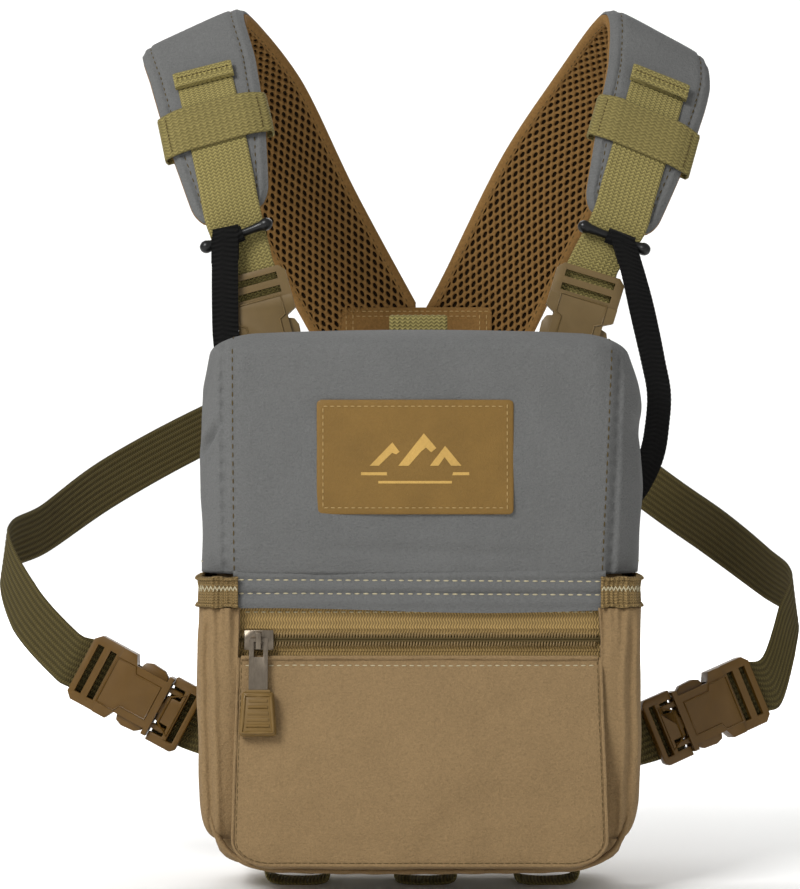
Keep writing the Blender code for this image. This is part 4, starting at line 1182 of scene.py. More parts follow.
class HARNESS_OT_side_pockets(bpy.types.Operator):
    """Make the side pockets and their gathered elastic hems"""

    bl_idname = "harness.side_pockets"
    bl_label = "Side pockets"

    def execute(self, context):
        for side, name in SIDES:
            self.make_pocket(side, name)
            self.make_hem(side, name)
        return {"FINISHED"}

    def side_box(self, node, side):
        """The node's box, drawn in a little outside and tucked under the front pocket."""
        low, high = (np.array(c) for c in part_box(node))
        outer, inner = (high, low) if side > 0 else (low, high)
        outer[0] -= side * 0.0028
        inner[0] = side * 0.0838
        return low, high

    def make_pocket(self, side, name):
        low, high = self.side_box("side_pocket_" + name, side)
        top = high[2]

        def shape(points, cube):
            points = points.copy()
            round_q = points[:, 1] - side * points[:, 0]
            fall = top - points[:, 2]
            out = np.stack([side * np.clip(side * cube[:, 0], 0, 1) ** 4,
                            -np.clip(-cube[:, 1], 0, 1) ** 4, np.zeros(len(cube))], 1)
            gather = np.exp(-fall / 0.028) * 0.0012 * np.sin(round_q * math.tau / 0.0092)
            gather += np.exp(-fall / 0.014) * 0.0006 * np.sin(round_q * math.tau / 0.0041 + 1.0)
            belly = 0.0010 * np.sin(np.pi * np.clip(fall / 0.108, 0, 1)) ** 1.2
            points += out * (gather + belly)[:, None]
            # a long fold down the front corner
            line_x = side * (0.0978 - 0.030 * np.clip(fall - 0.05, 0, 1))
            gap = (points[:, 0] - line_x) / 0.0016
            front = np.clip(-cube[:, 1] - 0.5, 0, 0.5) * 2
            points[:, 1] += 0.0019 * np.exp(-(gap**2)) * front * np.clip(fall / 0.01, 0, 1)
            points[:, 1] -= 0.0010 * np.exp(-((gap + side * 2.2) ** 2)) * front
            points = ripple(points, 0.022, 0.0012, (side * 0.8, -0.6, 0), 4.0 + side)
            return points

        inner = -side
        warp_out = [-1, -0.86, -0.4, 0.4, 0.86, 1]
        warp = (0, [-1, -0.7, -0.3, 0.3, 0.7, 1], warp_out)
        radii = (0.0085, 0.0095, 0.020)
        box = SoftBox(low, high, radii, square=((2, 1), (0, inner)), shape=shape)
        pocket = box.make(64, open_sides=((2, 1), (0, inner)), wall=0.0013, warp=warp)
        keep(pocket, "side_pouch_" + name, finish("tan_cloth"),
             nodes=("side_pocket_" + name,))
        tree = surface_tree(pocket)
        back = lay_on(tree, line((side * 0.100, -0.0375, -0.010), (side * 0.099, -0.0375, -0.100)))
        sew("side_pouch_stitches_" + name, [back], finish("dark_thread"), radius=0.00024)

    def make_hem(self, side, name):
        low, high = self.side_box("pocket_elastic_" + name, side)
        middle = (low[2] + high[2]) / 2
        tall = (high[2] - low[2]) / 2

        def shape(points, cube):
            points = points.copy()
            round_q = points[:, 1] - side * points[:, 0]
            up = (points[:, 2] - middle) / tall
            out = np.stack([side * np.clip(side * cube[:, 0], 0, 1) ** 4,
                            -np.clip(-cube[:, 1], 0, 1) ** 4, np.zeros(len(cube))], 1)
            rolled = 0.0006 * np.abs(up) ** 3 - 0.0004 * np.exp(-(((up - 0.25) / 0.2) ** 2))
            pleats = 0.00034 * np.sin(round_q * math.tau / 0.0022)
            waves = 0.0003 * np.sin(round_q * math.tau / 0.0128 + 0.6)
            points += out * (rolled + pleats + waves)[:, None]
            points[:, 2] += 0.0003 * np.sin(round_q * math.tau / 0.0105) * up
            return points

        inner = -side
        square = ((2, 1), (2, -1), (0, inner))
        box = SoftBox(low, high, (0.0085, 0.0095, 0.002), square=square, shape=shape)
        sides_open = ((2, 1), (2, -1), (0, inner))
        hem = box.make(80, open_sides=sides_open, wall=0.0019)
        keep(hem, "pouch_hem_" + name, finish("elastic"),
             nodes=("pocket_elastic_" + name,))
        tree = surface_tree(hem)
        start, corner, end = (inner * 0.99, -1, 0.25), (side, -1, 0.25), (side, 0.96, 0.25)
        path = trace(box, [start, corner, end], 60)
        even = walk([(p, Vector((0, -1, 0))) for p in path], 0.0011)
        zigzag = []
        for i, (place, _, _) in enumerate(even):
            zigzag.append(place + Vector((0, 0, 0.0011 if i % 2 else -0.0011)))
        sew("pouch_hem_zigzag_" + name, [lay_on(tree, zigzag)], finish("cream_thread"),
            length=0.0025, pitch=0.0024, radius=0.00034)
        for level, label in ((-0.90, "low"), (0.93, "high")):
            edge = trace(box, [(inner * 0.99, -1, level), (side, -1, level), (side, 0.98, level)], 90)
            rolled = tube([p + Vector((side * 0.0002, -0.0002, 0)) for p in edge], 0.0008, 8)
            keep(rolled, "pouch_hem_" + label + "_" + name, finish("elastic"))


class HARNESS_OT_bottom_webbing(bpy.types.Operator):
    """Sew the webbing under the bag, in three loops"""

    bl_idname = "harness.bottom_webbing"
    bl_label = "Bottom webbing"

    def execute(self, context):
        tack = -0.1255 - GAP - WEBBING / 2
        points = [(-0.0795, tack)]
        for centre in (-0.057, 0.003, 0.060):
            for across, drop in ((-0.0165, 0.0), (-0.0120, 0.0088), (0.0120, 0.0088), (0.0165, 0.0)):
                points.append((centre + across, tack - drop))
        points.append((0.0825, tack))
        stations = [((x, -0.0500, z), (0, -1, 0), WEBBING_HALF) for x, z in points]
        route = Route(stations, 10)
        band = sweep(route, 0.0, route.length, ribbed(WEBBING, 9, 0.0003), 0.0012)
        keep(band, "base_webbing", finish("khaki"), nodes=("bottom_webbing",))
        tree = surface_tree(band)
        paths = []
        for x in (-0.0765, -0.0375, -0.0165, 0.0225, 0.0405, 0.0795):
            for shift in (-0.0008, 0.0008):
                start, end = (x + shift, -0.0605, tack - 0.002), (x + shift, -0.0395, tack - 0.002)
                paths.append(lay_on(tree, line(start, end)))
        sew("base_webbing_tacks", paths, finish("dark_thread"), pitch=0.0018, length=0.0016)
        return {"FINISHED"}


# ---------------------------------------------------------------- lid


def lid_box():
    low, high = (np.array(c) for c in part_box("lid_shell"))
    tall = high[2] - low[2]

    def shape(points, cube):
        points = points.copy()
        up = np.clip((points[:, 2] - low[2]) / tall, 0, 1)
        x = points[:, 0]
        shoulder = np.clip((points[:, 2] - 0.088) / 0.034, 0, 1)
        points[:, 0] *= 1 - 0.062 * shoulder**1.7
        points[:, 0] += 0.0022 * np.sin(np.pi * up) * (x > 0.06) * np.clip((x - 0.06) / 0.04, 0, 1)
        points[:, 2] += 0.0032 * (1 - (x / 0.103) ** 2) * np.clip(up * 3 - 2, 0, 1)
        front = np.clip(-cube[:, 1] * 4 - 3, 0, 1)
        crown = (1 - (x / 0.103) ** 4) * np.sin(np.pi * up) ** 0.7
        points[:, 1] -= front * (0.0030 * crown)
        push, aside = (0, -1, 0), (1, 0, 0)
        points = ripple(points, (0.050, 0.04, 0.035), 0.0016, push, 2.3)
        points = ripple(points, (0.018, 0.02, 0.022), 0.0006, push, 6.3)
        points = ripple(points, (0.03, 0.03, 0.025), 0.0016, aside, 5.1)
        seams = (((-0.0915, -0.09, 0.125), (-0.0900, -0.09, 0.0115)),
                 ((0.0935, -0.09, 0.125), (0.0885, -0.09, 0.0115)))
        for a, b in seams:
            points = seam_fold(points, a, b, front)
        points = crease(points, (-0.0940, -0.086, 0.080), (-0.1030, -0.070, 0.067), 0.0040, 0.0030,
                        (-0.8, -0.5, 0))
        points = crease(points, (-0.0960, -0.078, 0.100), (-0.1030, -0.066, 0.090), 0.006, 0.0014,
                        (-0.8, -0.5, 0))
        points = bump_on(points, (0.1035, -0.070, 0.079), (0.008, 0.012, 0.006), -0.0022, (1, -0.2, 0))
        points = crease(points, (-0.060, -0.09, 0.0235), (0.055, -0.09, 0.0205), 0.0045, 0.0006, push)
        points = bump_on(points, (-0.083, -0.09, 0.035), (0.012, 1, 0.020), 0.0012, push)
        return points

    def seam_fold(points, a, b, front):
        share = np.clip((a[2] - points[:, 2]) / (a[2] - b[2]), 0, 1)
        at = a[0] + (b[0] - a[0]) * share
        gap = (points[:, 0] - at) / 0.0013
        pucker = 1 + 0.35 * np.sin(points[:, 2] * math.tau / 0.0068)
        points[:, 1] += front * 0.0016 * np.exp(-(gap**2)) * pucker
        points[:, 1] -= front * 0.0007 * np.exp(-((np.abs(gap) - 2.6) ** 2)) * pucker
        return points

    square = ((2, -1),)
    return SoftBox(low, high, (0.022, 0.030, 0.0085), square=square, shape=shape)


class HARNESS_OT_lid(bpy.types.Operator):
    """Make the lid, with its folded seams and rows of stitches"""

    bl_idname = "harness.lid"
    bl_label = "Lid"

    def execute(self, context):
        box = lid_box()
        knots = [-1, -0.74, -0.5, 0.5, 0.74, 1]
        warp = (0, knots, [-1, -0.92, -0.80, 0.80, 0.92, 1])

        def behind(centre):
            return centre[1] > -0.0095 and centre[2] < 0.0965

        lid = box.make(74, open_sides=((2, -1),), wall=0.0018, warp=warp, drop=behind)
        keep(lid, "lid_cover", finish("grey_cloth"), "lid", ("lid_shell",))
        tree = surface_tree(lid)
        rows = []
        for top, bottom in ((-0.0868, -0.0858), (0.0893, 0.0846)):
            down = line((top, -0.096, 0.1165), (bottom, -0.096, 0.0125), 60)
            rows.append(lay_on(tree, down, FRONT))
        sew("lid_seam_stitches", rows, finish("dark_thread"), "lid", length=0.0026, pitch=0.0040,
            radius=0.00038, sink=0.0)
        over = []
        for x in (-0.0885, 0.0915):
            over.append(lay_on(tree, line((x, -0.078, 0.126), (x, -0.014, 0.126), 40)))
        sew("lid_top_stitches", over, finish("dark_thread"), "lid", length=0.0026, pitch=0.0040)
        hem = []
        for side in (-1, 1):
            hem_ends = [(side * 0.106, y, 0.0165) for y in (-0.070, -0.010)]
            hem.append(lay_on(tree, line(*hem_ends)))
        sew("lid_hem_stitches", hem, finish("cream_thread"), "lid")
        return {"FINISHED"}


class HARNESS_OT_lid_hinge(bpy.types.Operator):
    """Make the sewn strip that joins the lid to the bag"""

    bl_idname = "harness.lid_hinge"
    bl_label = "Lid hinge"

    def execute(self, context):
        top, bottom = 0.0150, -0.0044
        half = 0.0862
        made, row, column = add_grid(120, 26)
        share = column / 26
        x = -half + 2 * half * row / 120
        z = bottom + (top - bottom) * share
        z = z - (1 - share) * (0.0012 * np.sin(x * 31.0 + 0.6) + 0.0009)
        y = np.full(len(x), -0.0896)
        for at in (0.0088, 0.0026):
            y += 0.0007 * np.exp(-(((z - at) / 0.0010) ** 2))
            y += 0.00025 * np.sin(x * math.tau / 0.0045) * np.exp(-(((z - at) / 0.0022) ** 2))
        y -= 0.0009 * np.exp(-(((z - 0.0057) / 0.0022) ** 2))
        y -= 0.0008 * np.exp(-(((z + 0.0012) / 0.0022) ** 2))
        y += 0.0016 * np.clip((z - 0.0115) / 0.0035, 0, 1)
        set_coordinates(made.data, np.stack([x, y, z], 1))
        tidy(made, outward=False)
        apply(made, "SOLIDIFY", thickness=0.0014, offset=0.0)
        tidy(made, 60)
        made.name = made.data.name = "lid_hinge_cloth"
        made.data.materials.clear()
        made.data.materials.append(finish("grey_cloth"))
        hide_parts("lid_hinge_strip")
        tree = surface_tree(made)
        rows = []
        for level in (0.0088, 0.0026):
            laid = line((-0.0845, -0.0935, level), (0.0845, -0.0935, level - 0.0008), 80)
            rows.append(lay_on(tree, laid, FRONT))
        sew("lid_hinge_stitches", rows, finish("cream_thread"), length=0.0026, pitch=0.0041,
            radius=0.00040, sink=0.4)
        start, end = (HINGE.x, HINGE.y, 0.0094), (HINGE.x, HINGE.y, 0.0132)
        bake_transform(made)
        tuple(start)
        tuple(end)
        return {"FINISHED"}


class HARNESS_OT_patch(bpy.types.Operator):
    """Make the leather patch, with a ridge of hills on it"""

    bl_idname = "harness.patch"
    bl_label = "Patch"

    def execute(self, context):
        low, high = (np.array(c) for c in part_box("lid_patch"))
        low[1], high[1] = -0.0942, -0.0918
        centre = (low + high) / 2

        def shape(points, cube):
            bow = 0.0009 * (points[:, 0] - centre[0]) ** 2 / 0.045**2
            points = points + np.stack([0 * bow, bow, 0 * bow], 1)
            return ripple(points, 0.03, 0.0004, (0, -1, 0), 9.0)

        box = SoftBox(low, high, (0.0022, 0.0007, 0.0022), shape=shape)
        patch = box.make(46)
        keep(patch, "patch", finish("patch"), "lid", ("lid_patch",))
        tree = surface_tree(patch)
        inset_x, inset_z = 0.935, 0.885
        corners = [(-inset_x, -1, -inset_z), (-inset_x, -1, inset_z), (inset_x, -1, inset_z),
                   (inset_x, -1, -inset_z), (-inset_x, -1, -inset_z)]
        sew("patch_stitches", [lay_on(tree, trace(box, corners))], finish("tan_thread"), "lid",
            length=0.0021, pitch=0.0031, radius=0.00030)
        self.print_hills(tree, centre)
        return {"FINISHED"}

    def print_hills(self, tree, centre):
        """Hills with lit faces over two bands of ground, raised a little from the leather."""
        shapes = (
            [(-0.0210, 0.0000), (-0.0105, 0.0108), (-0.0072, 0.0064), (-0.0088, 0.0052),
             (-0.0106, 0.0060), (-0.0168, 0.0000)],
            [(-0.0078, 0.0000), (0.0040, 0.0150), (0.0098, 0.0082), (0.0074, 0.0062),
             (0.0050, 0.0084), (0.0028, 0.0066), (-0.0030, 0.0000)],
            [(0.0068, 0.0000), (0.0138, 0.0092), (0.0214, 0.0000), (0.0166, 0.0000),
             (0.0136, 0.0040), (0.0108, 0.0000)],
            [(-0.0250, -0.0030), (0.0250, -0.0030), (0.0250, -0.0044), (-0.0250, -0.0044)],
            [(-0.0170, -0.0070), (0.0170, -0.0070), (0.0170, -0.0082), (-0.0170, -0.0082)],
        )
        pieces = []
        for outline in shapes:
            curve = bpy.data.curves.new("hill", "CURVE")
            curve.dimensions = "2D"
            curve.fill_mode = "BOTH"
            curve.extrude = 0.00014
            spline = curve.splines.new("POLY")
            spline.points.add(len(outline) - 1)
            for target, (x, z) in zip(spline.points, outline):
                target.co = (centre[0] + x, centre[2] - 0.004 + z, 0, 1)
            spline.use_cyclic_u = True
            made = bpy.data.objects.new("hill", curve)
            bpy.context.scene.collection.objects.link(made)
            alone(made)
            bpy.ops.object.convert(target="MESH")
            made = bpy.context.object
            edit(made, (bpy.ops.mesh.remove_doubles, {"threshold": 1e-6}))
            turned = Matrix.Rotation(math.radians(90), 4, "X")
            made.data.transform(turned)
            pieces.append(made)
        hills = join(*pieces)
        points = coordinates(hills.data)
        for i, point in enumerate(points):
            probe = Vector((point[0], -0.2, point[2]))
            hit = tree.ray_cast(probe, Vector((0, 1, 0)))
            if hit[0] is None:
                raise RuntimeError("the hills miss the patch")
            points[i, 1] = hit[0].y + point[1] - 0.00006
        set_coordinates(hills.data, points)
        tidy(hills, 30)
        keep(hills, "patch_print", finish("motif"), "lid")


# ---------------------------------------------------------------- zip

ZIP_Z = -0.0190
SHADE_CORD_Y = -0.0884
SHADE_CORD_RADIUS = 0.00055
ZIP_HALF = 0.0846
TAPE_Y = -0.0869
PULL_AT = Vector((-0.0743, -0.0932, -0.0190))
PULL_TURN = Matrix.Translation(PULL_AT) @ Matrix.Rotation(math.radians(-12), 4, "X")


class HARNESS_OT_zip(bpy.types.Operator):
    """Make the zip's tapes, teeth and stitches"""

    bl_idname = "harness.zip"
    bl_label = "Zip"

    def execute(self, context):
        pitch = context.scene.harness_sizes.tooth_pitch
        for side, name in ((1, "upper"), (-1, "lower")):
            self.make_tape(side, name)
            self.make_teeth(side, name, pitch)
        return {"FINISHED"}

    def make_tape(self, side, name):
        inner, outer = ZIP_Z + side * 0.0008, ZIP_Z + side * 0.0153
        middle, half = (inner + outer) / 2, abs(outer - inner) / 2
        ends = [((x, TAPE_Y, middle), (0, 0, -1), half) for x in (-ZIP_HALF, ZIP_HALF)]
        route = Route(ends, 2)

        def section(half, distance):
            top = []
            for i in range(31):
                share = 1 - i / 15
                near = share * side
                ridge = 0.0005 * math.exp(-(((near - 0.42) / 0.055) ** 2))
                ridge += 0.0003 * math.exp(-(((near + 0.90) / 0.06) ** 2))
                ripple_up = 0.00008 * math.sin(31 * math.tau * i / 62)
                top.append((half * share, 0.0005 + ridge + ripple_up))
            return top + [(a, -0.0005) for a, _ in reversed(top)]

        tape = sweep(route, 0.0, route.length, section, 0.004)
        keep(tape, "zip_band_" + name, finish("tape"), nodes=("zip_tape_" + name,))
        tree = surface_tree(tape)
        row = ZIP_Z + side * (0.0128 if side > 0 else 0.0118)
        path = lay_on(tree, line((-0.0815, -0.090, row), (0.0815, -0.090, row)))
        sew("zip_band_stitches_" + name, [path], finish("cream_thread"), length=0.0024, pitch=0.0037,
            radius=0.00030)

    def make_teeth(self, side, name, pitch):
        bpy.ops.mesh.primitive_uv_sphere_add(segments=6, ring_count=5, radius=1.0)
        template = bpy.context.object
        size = Matrix.Diagonal((0.00046, 0.00085, 0.00150, 1.0))
        lean = Matrix.Rotation(math.radians(9), 4, "Y")
        places = []
        count = int(2 * (ZIP_HALF - 0.001) / pitch)
        for i in range(count):
            x = -ZIP_HALF + 0.001 + pitch * (i + (0.5 if side > 0 else 0.0))
            centre = Matrix.Translation((x, -0.0886, ZIP_Z + side * 0.0021))
            places.append(centre @ lean @ size)
        teeth = repeat(template, places)
        tidy(teeth, outward=True)
        keep(teeth, "zip_teeth_" + name, finish("coil"), nodes=("zip_coil_" + name,))
        # Painted shade: dark cords at the inner ends of the teeth fill the gap between the rows and show
        # between the teeth.
        cord_z = ZIP_Z + side * 0.0006
        cord = tube(line((-ZIP_HALF, SHADE_CORD_Y, cord_z), (ZIP_HALF, SHADE_CORD_Y, cord_z), 4), SHADE_CORD_RADIUS, 8)
        keep(cord, "zip_core_" + name, finish("dark_thread"))


class HARNESS_OT_zip_pull(bpy.types.Operator):
    """Make the zip's slider, its tab and the moulded grip"""

    bl_idname = "harness.zip_pull"
    bl_label = "Zip pull"

    def execute(self, context):
        slider = rounded_copy("zip_slider", 0.0004, 2)
        keep(slider, "slider", finish("metal"), "slider", ("zip_slider",))
        tab = rounded_copy("zip_pull_tab", 0.00035, 2)
        keep(tab, "pull_tab", finish("metal"), "pull", ("zip_pull_tab",))
        grip = rounded_copy("zip_pull_grip", 0.0005, 2)
        parts = [grip]
        top, bottom = -0.0238, -0.0443
        for i in range(5):
            z = top - 0.0045 - 0.0029 * i
            half = 0.0042 + 0.00028 * i
            ends = [PULL_TURN @ Vector((x, -0.0024, z)) for x in (-half, 0.0, half)]
            parts.append(tube(ends, 0.00085, 8))
        frame_path = [(-0.0060, -0.0020), (0.0060, -0.0020), (0.0073, bottom - top + 0.0014),
                      (-0.0073, bottom - top + 0.0014)]
        points = []
        for a, b in zip(frame_path, frame_path[1:] + frame_path[:1]):
            for i in range(6):
                x, z = a[0] + (b[0] - a[0]) * i / 6, a[1] + (b[1] - a[1]) * i / 6
                points.append(PULL_TURN @ Vector((x, -0.0024, top + z)))
        parts.append(tube(points, 0.0008, 8, closed=True))
        grip = join(*parts)
        keep(grip, "pull_grip", finish("grip"), "pull", ("zip_pull_grip",))
        collar = [PULL_TURN @ Vector((x, y, top)) for x, y in
                  ((-0.0052, -0.0016), (0.0052, -0.0016), (0.0052, 0.0016), (-0.0052, 0.0016))]
        keep(tube(collar, 0.0007, 8, closed=True), "pull_collar", finish("grip"), "pull")
        return {"FINISHED"}


# ---------------------------------------------------------------- shoulder straps


def cut_at_middle(made, side):
    """Trim a strap where the two meet behind the neck, and close the cut."""
    alone(made)
    bpy.ops.object.mode_set(mode="EDIT")
    bpy.ops.mesh.select_all(action="SELECT")
    bpy.ops.mesh.bisect(
        plane_co=(side * GAP, 0, 0), plane_no=(-side, 0, 0), use_fill=True, clear_outer=True
    )
    bpy.ops.object.mode_set(mode="OBJECT")


def knit(route, start, end, across_pitch, along_pitch, margin, low):
    """A raised mesh of yarn with staggered oval holes, on the inside of a strap."""
    a, b = across_pitch, along_pitch
    corners = [(0, 2 / 3), (0.5, 1 / 3), (0.5, -1 / 3), (0, -2 / 3), (-0.5, -1 / 3), (-0.5, 1 / 3)]
    outline = []
    for one, two in zip(corners, corners[1:] + corners[:1]):
        outline.append((one[0] * a, one[1] * b))
        outline.append(((one[0] + two[0]) * a / 2, (one[1] + two[1]) * b / 2))
    outline = np.array(outline)
    angle = np.arctan2(outline[:, 1] / (0.66 * b), outline[:, 0] / (0.5 * a))
    hole = np.stack([np.cos(angle) * 0.00100, np.sin(angle) * 0.00205], 1)
    rings = ((outline, 0.0), (outline * 0.45 + hole * 0.55, -0.0001), (hole, 0.0006),
             (hole * 0.86, 0.0017))
    template = np.concatenate([np.column_stack([ring, np.full(12, deep)]) for ring, deep in rings])
    faces = []
    for ring in range(3):
        for i in range(12):
            j = (i + 1) % 12
            faces.append((ring * 12 + i, ring * 12 + j, ring * 12 + 12 + j, ring * 12 + 12 + i))
    centres = []
    for row in range(int((end - start) / b)):
        distance = start + row * b
        half = route.at(distance)[3] - margin
        reach = int(half / a) + 1
        for column in range(-reach, reach + 1):
            across = (column + 0.5 * (row % 2)) * a
            if abs(across) < half:
                centres.append((across, distance))
    centres = np.array(centres)
    count = len(template)
    across = (centres[:, 0, None] + template[None, :, 0]).ravel()
    along = (centres[:, 1, None] + template[None, :, 1]).ravel()
    deep = np.tile(template[:, 2], len(centres))
    points = route.map(along, across, low + deep)
    all_faces = (np.arange(len(centres))[:, None, None] * count + np.array(faces)[None]).reshape(-1, 4)
    mesh = bpy.data.meshes.new("knit")
    mesh.from_pydata(points.tolist(), [], all_faces.tolist())
    made = bpy.data.objects.new("knit", mesh)
    bpy.context.scene.collection.objects.link(made)
    edit(made, (bpy.ops.mesh.remove_doubles, {"threshold": 3e-5}))
    return made


class HARNESS_OT_shoulder_pads(bpy.types.Operator):
    """Make the padded shoulder straps: cloth outside, spacer mesh inside, bound edges"""

    bl_idname = "harness.shoulder_pads"
    bl_label = "Shoulder pads"

    def execute(self, context):
        sizes = context.scene.harness_sizes
        for side, name in SIDES:
            route = Route(SHOULDER[name])
            self.make_cloth(side, name, route, sizes.puff)
            self.make_mesh(side, name, route, sizes)
            self.make_binding(side, name, route)
        return {"FINISHED"}

    def narrow(self, half, distance):
        """The pad's rounded lower end."""
        share = min(1.0, distance / 0.011)
        return half * (0.62 + 0.38 * math.sqrt(1 - (1 - share) ** 2))

    def make_cloth(self, side, name, route, puff):
        def section(half, distance):
            half = self.narrow(half, distance) + 0.0003
            free = min(1.0, max(0.0, (distance - 0.084) / 0.03))
            top = []
            for i in range(41):
                share = 1 - i / 20
                across = half * share
                inset = half - abs(across)
                edge = 1 - 0.62 * math.exp(-((inset / 0.0024) ** 2))
                groove = 0.0011 * math.exp(-(((inset - 0.0052) / 0.0011) ** 2))
                crown = puff * free * (1 - share**4)
                pucker = 1 + 0.3 * math.sin(distance * math.tau / 0.0068)
                height = PAD_SPLIT / 2 + FOAM * edge - groove * pucker + crown
                top.append((across, height))
            return top + [(a, PAD_SPLIT / 2) for a, _ in reversed(top)]

        pad = sweep(route, 0.0, route.length, section, 0.0024)
        cut_at_middle(pad, side)
        keep(pad, "pad_cloth_" + name, finish("grey_cloth"),
             nodes=("shoulder_pad_" + name,))
        tree = surface_tree(pad)
        rows = []
        for edge in (-1, 1):
            path = []
            for i in range(120):
                distance = 0.006 + (route.length - 0.010) * i / 119
                half = self.narrow(route.at(distance)[3], distance)
                path.append(route.on(distance, edge * (half - 0.0053), 0.004))
            path = [p for p in path if p.x * side > 0.004]
            rows.append(lay_on(tree, path))
        sew("pad_stitches_" + name, rows, finish("dark_thread"), length=0.0024, pitch=0.0040,
            radius=0.00032)

    def make_mesh(self, side, name, route, sizes):
        def base(half, distance):
            half = self.narrow(half, distance) - 0.0008
            return box_section(half, -MESH_INSIDE + 0.0012, -PAD_SPLIT / 2)(half, distance)

        # The sheet under the knit is near black: painted shade seen through the mesh's holes.
        sheet = sweep(route, 0.0, route.length, base, 0.004)
        cut_at_middle(sheet, side)
        keep(sheet, "mesh_base_" + name, finish("mesh_base"),
             nodes=("shoulder_mesh_" + name,))
        lattice = knit(route, 0.010, route.length - 0.002, sizes.hole_across, sizes.hole_along,
                       0.0034, -MESH_INSIDE - 0.0002)
        alone(lattice)
        bpy.ops.object.mode_set(mode="EDIT")
        bpy.ops.mesh.select_all(action="SELECT")
        bpy.ops.mesh.bisect(plane_co=(side * GAP, 0, 0), plane_no=(-side, 0, 0), clear_outer=True)
        bpy.ops.object.mode_set(mode="OBJECT")
        alone(lattice)
        bpy.ops.object.shade_smooth()
        keep(lattice, "mesh_knit_" + name, finish("mesh"))

    def make_binding(self, side, name, route):
        parts = []
        for edge in (-1, 1):
            def section(half, distance, edge=edge):
                half = self.narrow(half, distance)
                wobble = 0.00012 * math.sin(distance * math.tau / 0.0040)
                shape = [
                    (0.0004, -0.0004), (0.0001, 0.0001), (-0.0004, 0.0003), (-0.0009, 0.0002),
                    (-0.0013, -0.0002), (-0.0018, -0.0034), (-0.0042, -0.0036),
                    (-0.0045, -0.0041), (-0.0034, -0.0044), (-0.0018, -0.0044),
                    (-0.0005, -0.0040), (0.0005, -0.0026), (0.0007, -0.0006),
                ]
                turned = [(edge * (half + a), o + wobble) for a, o in shape]
                return turned if edge > 0 else turned[::-1]

            strip = sweep(route, 0.0, route.length, section, 0.0020)
            cut_at_middle(strip, side)
            parts.append(strip)
        binding = join(*parts)
        keep(binding, "pad_binding_" + name, finish("mesh"))
        tree = surface_tree(binding)
        rows = []
        for edge in (-1, 1):
            path = []
            for i in range(120):
                distance = 0.012 + (route.length - 0.014) * i / 119
                half = self.narrow(route.at(distance)[3], distance)
                path.append(route.on(distance, edge * (half - 0.0034), -0.0052))
            rows.append(lay_on(tree, [p for p in path if p.x * side > 0.004]))
        sew("mesh_stitches_" + name, rows, finish("dark_thread"), pitch=0.0042, radius=0.00026,
            sink=0.0)


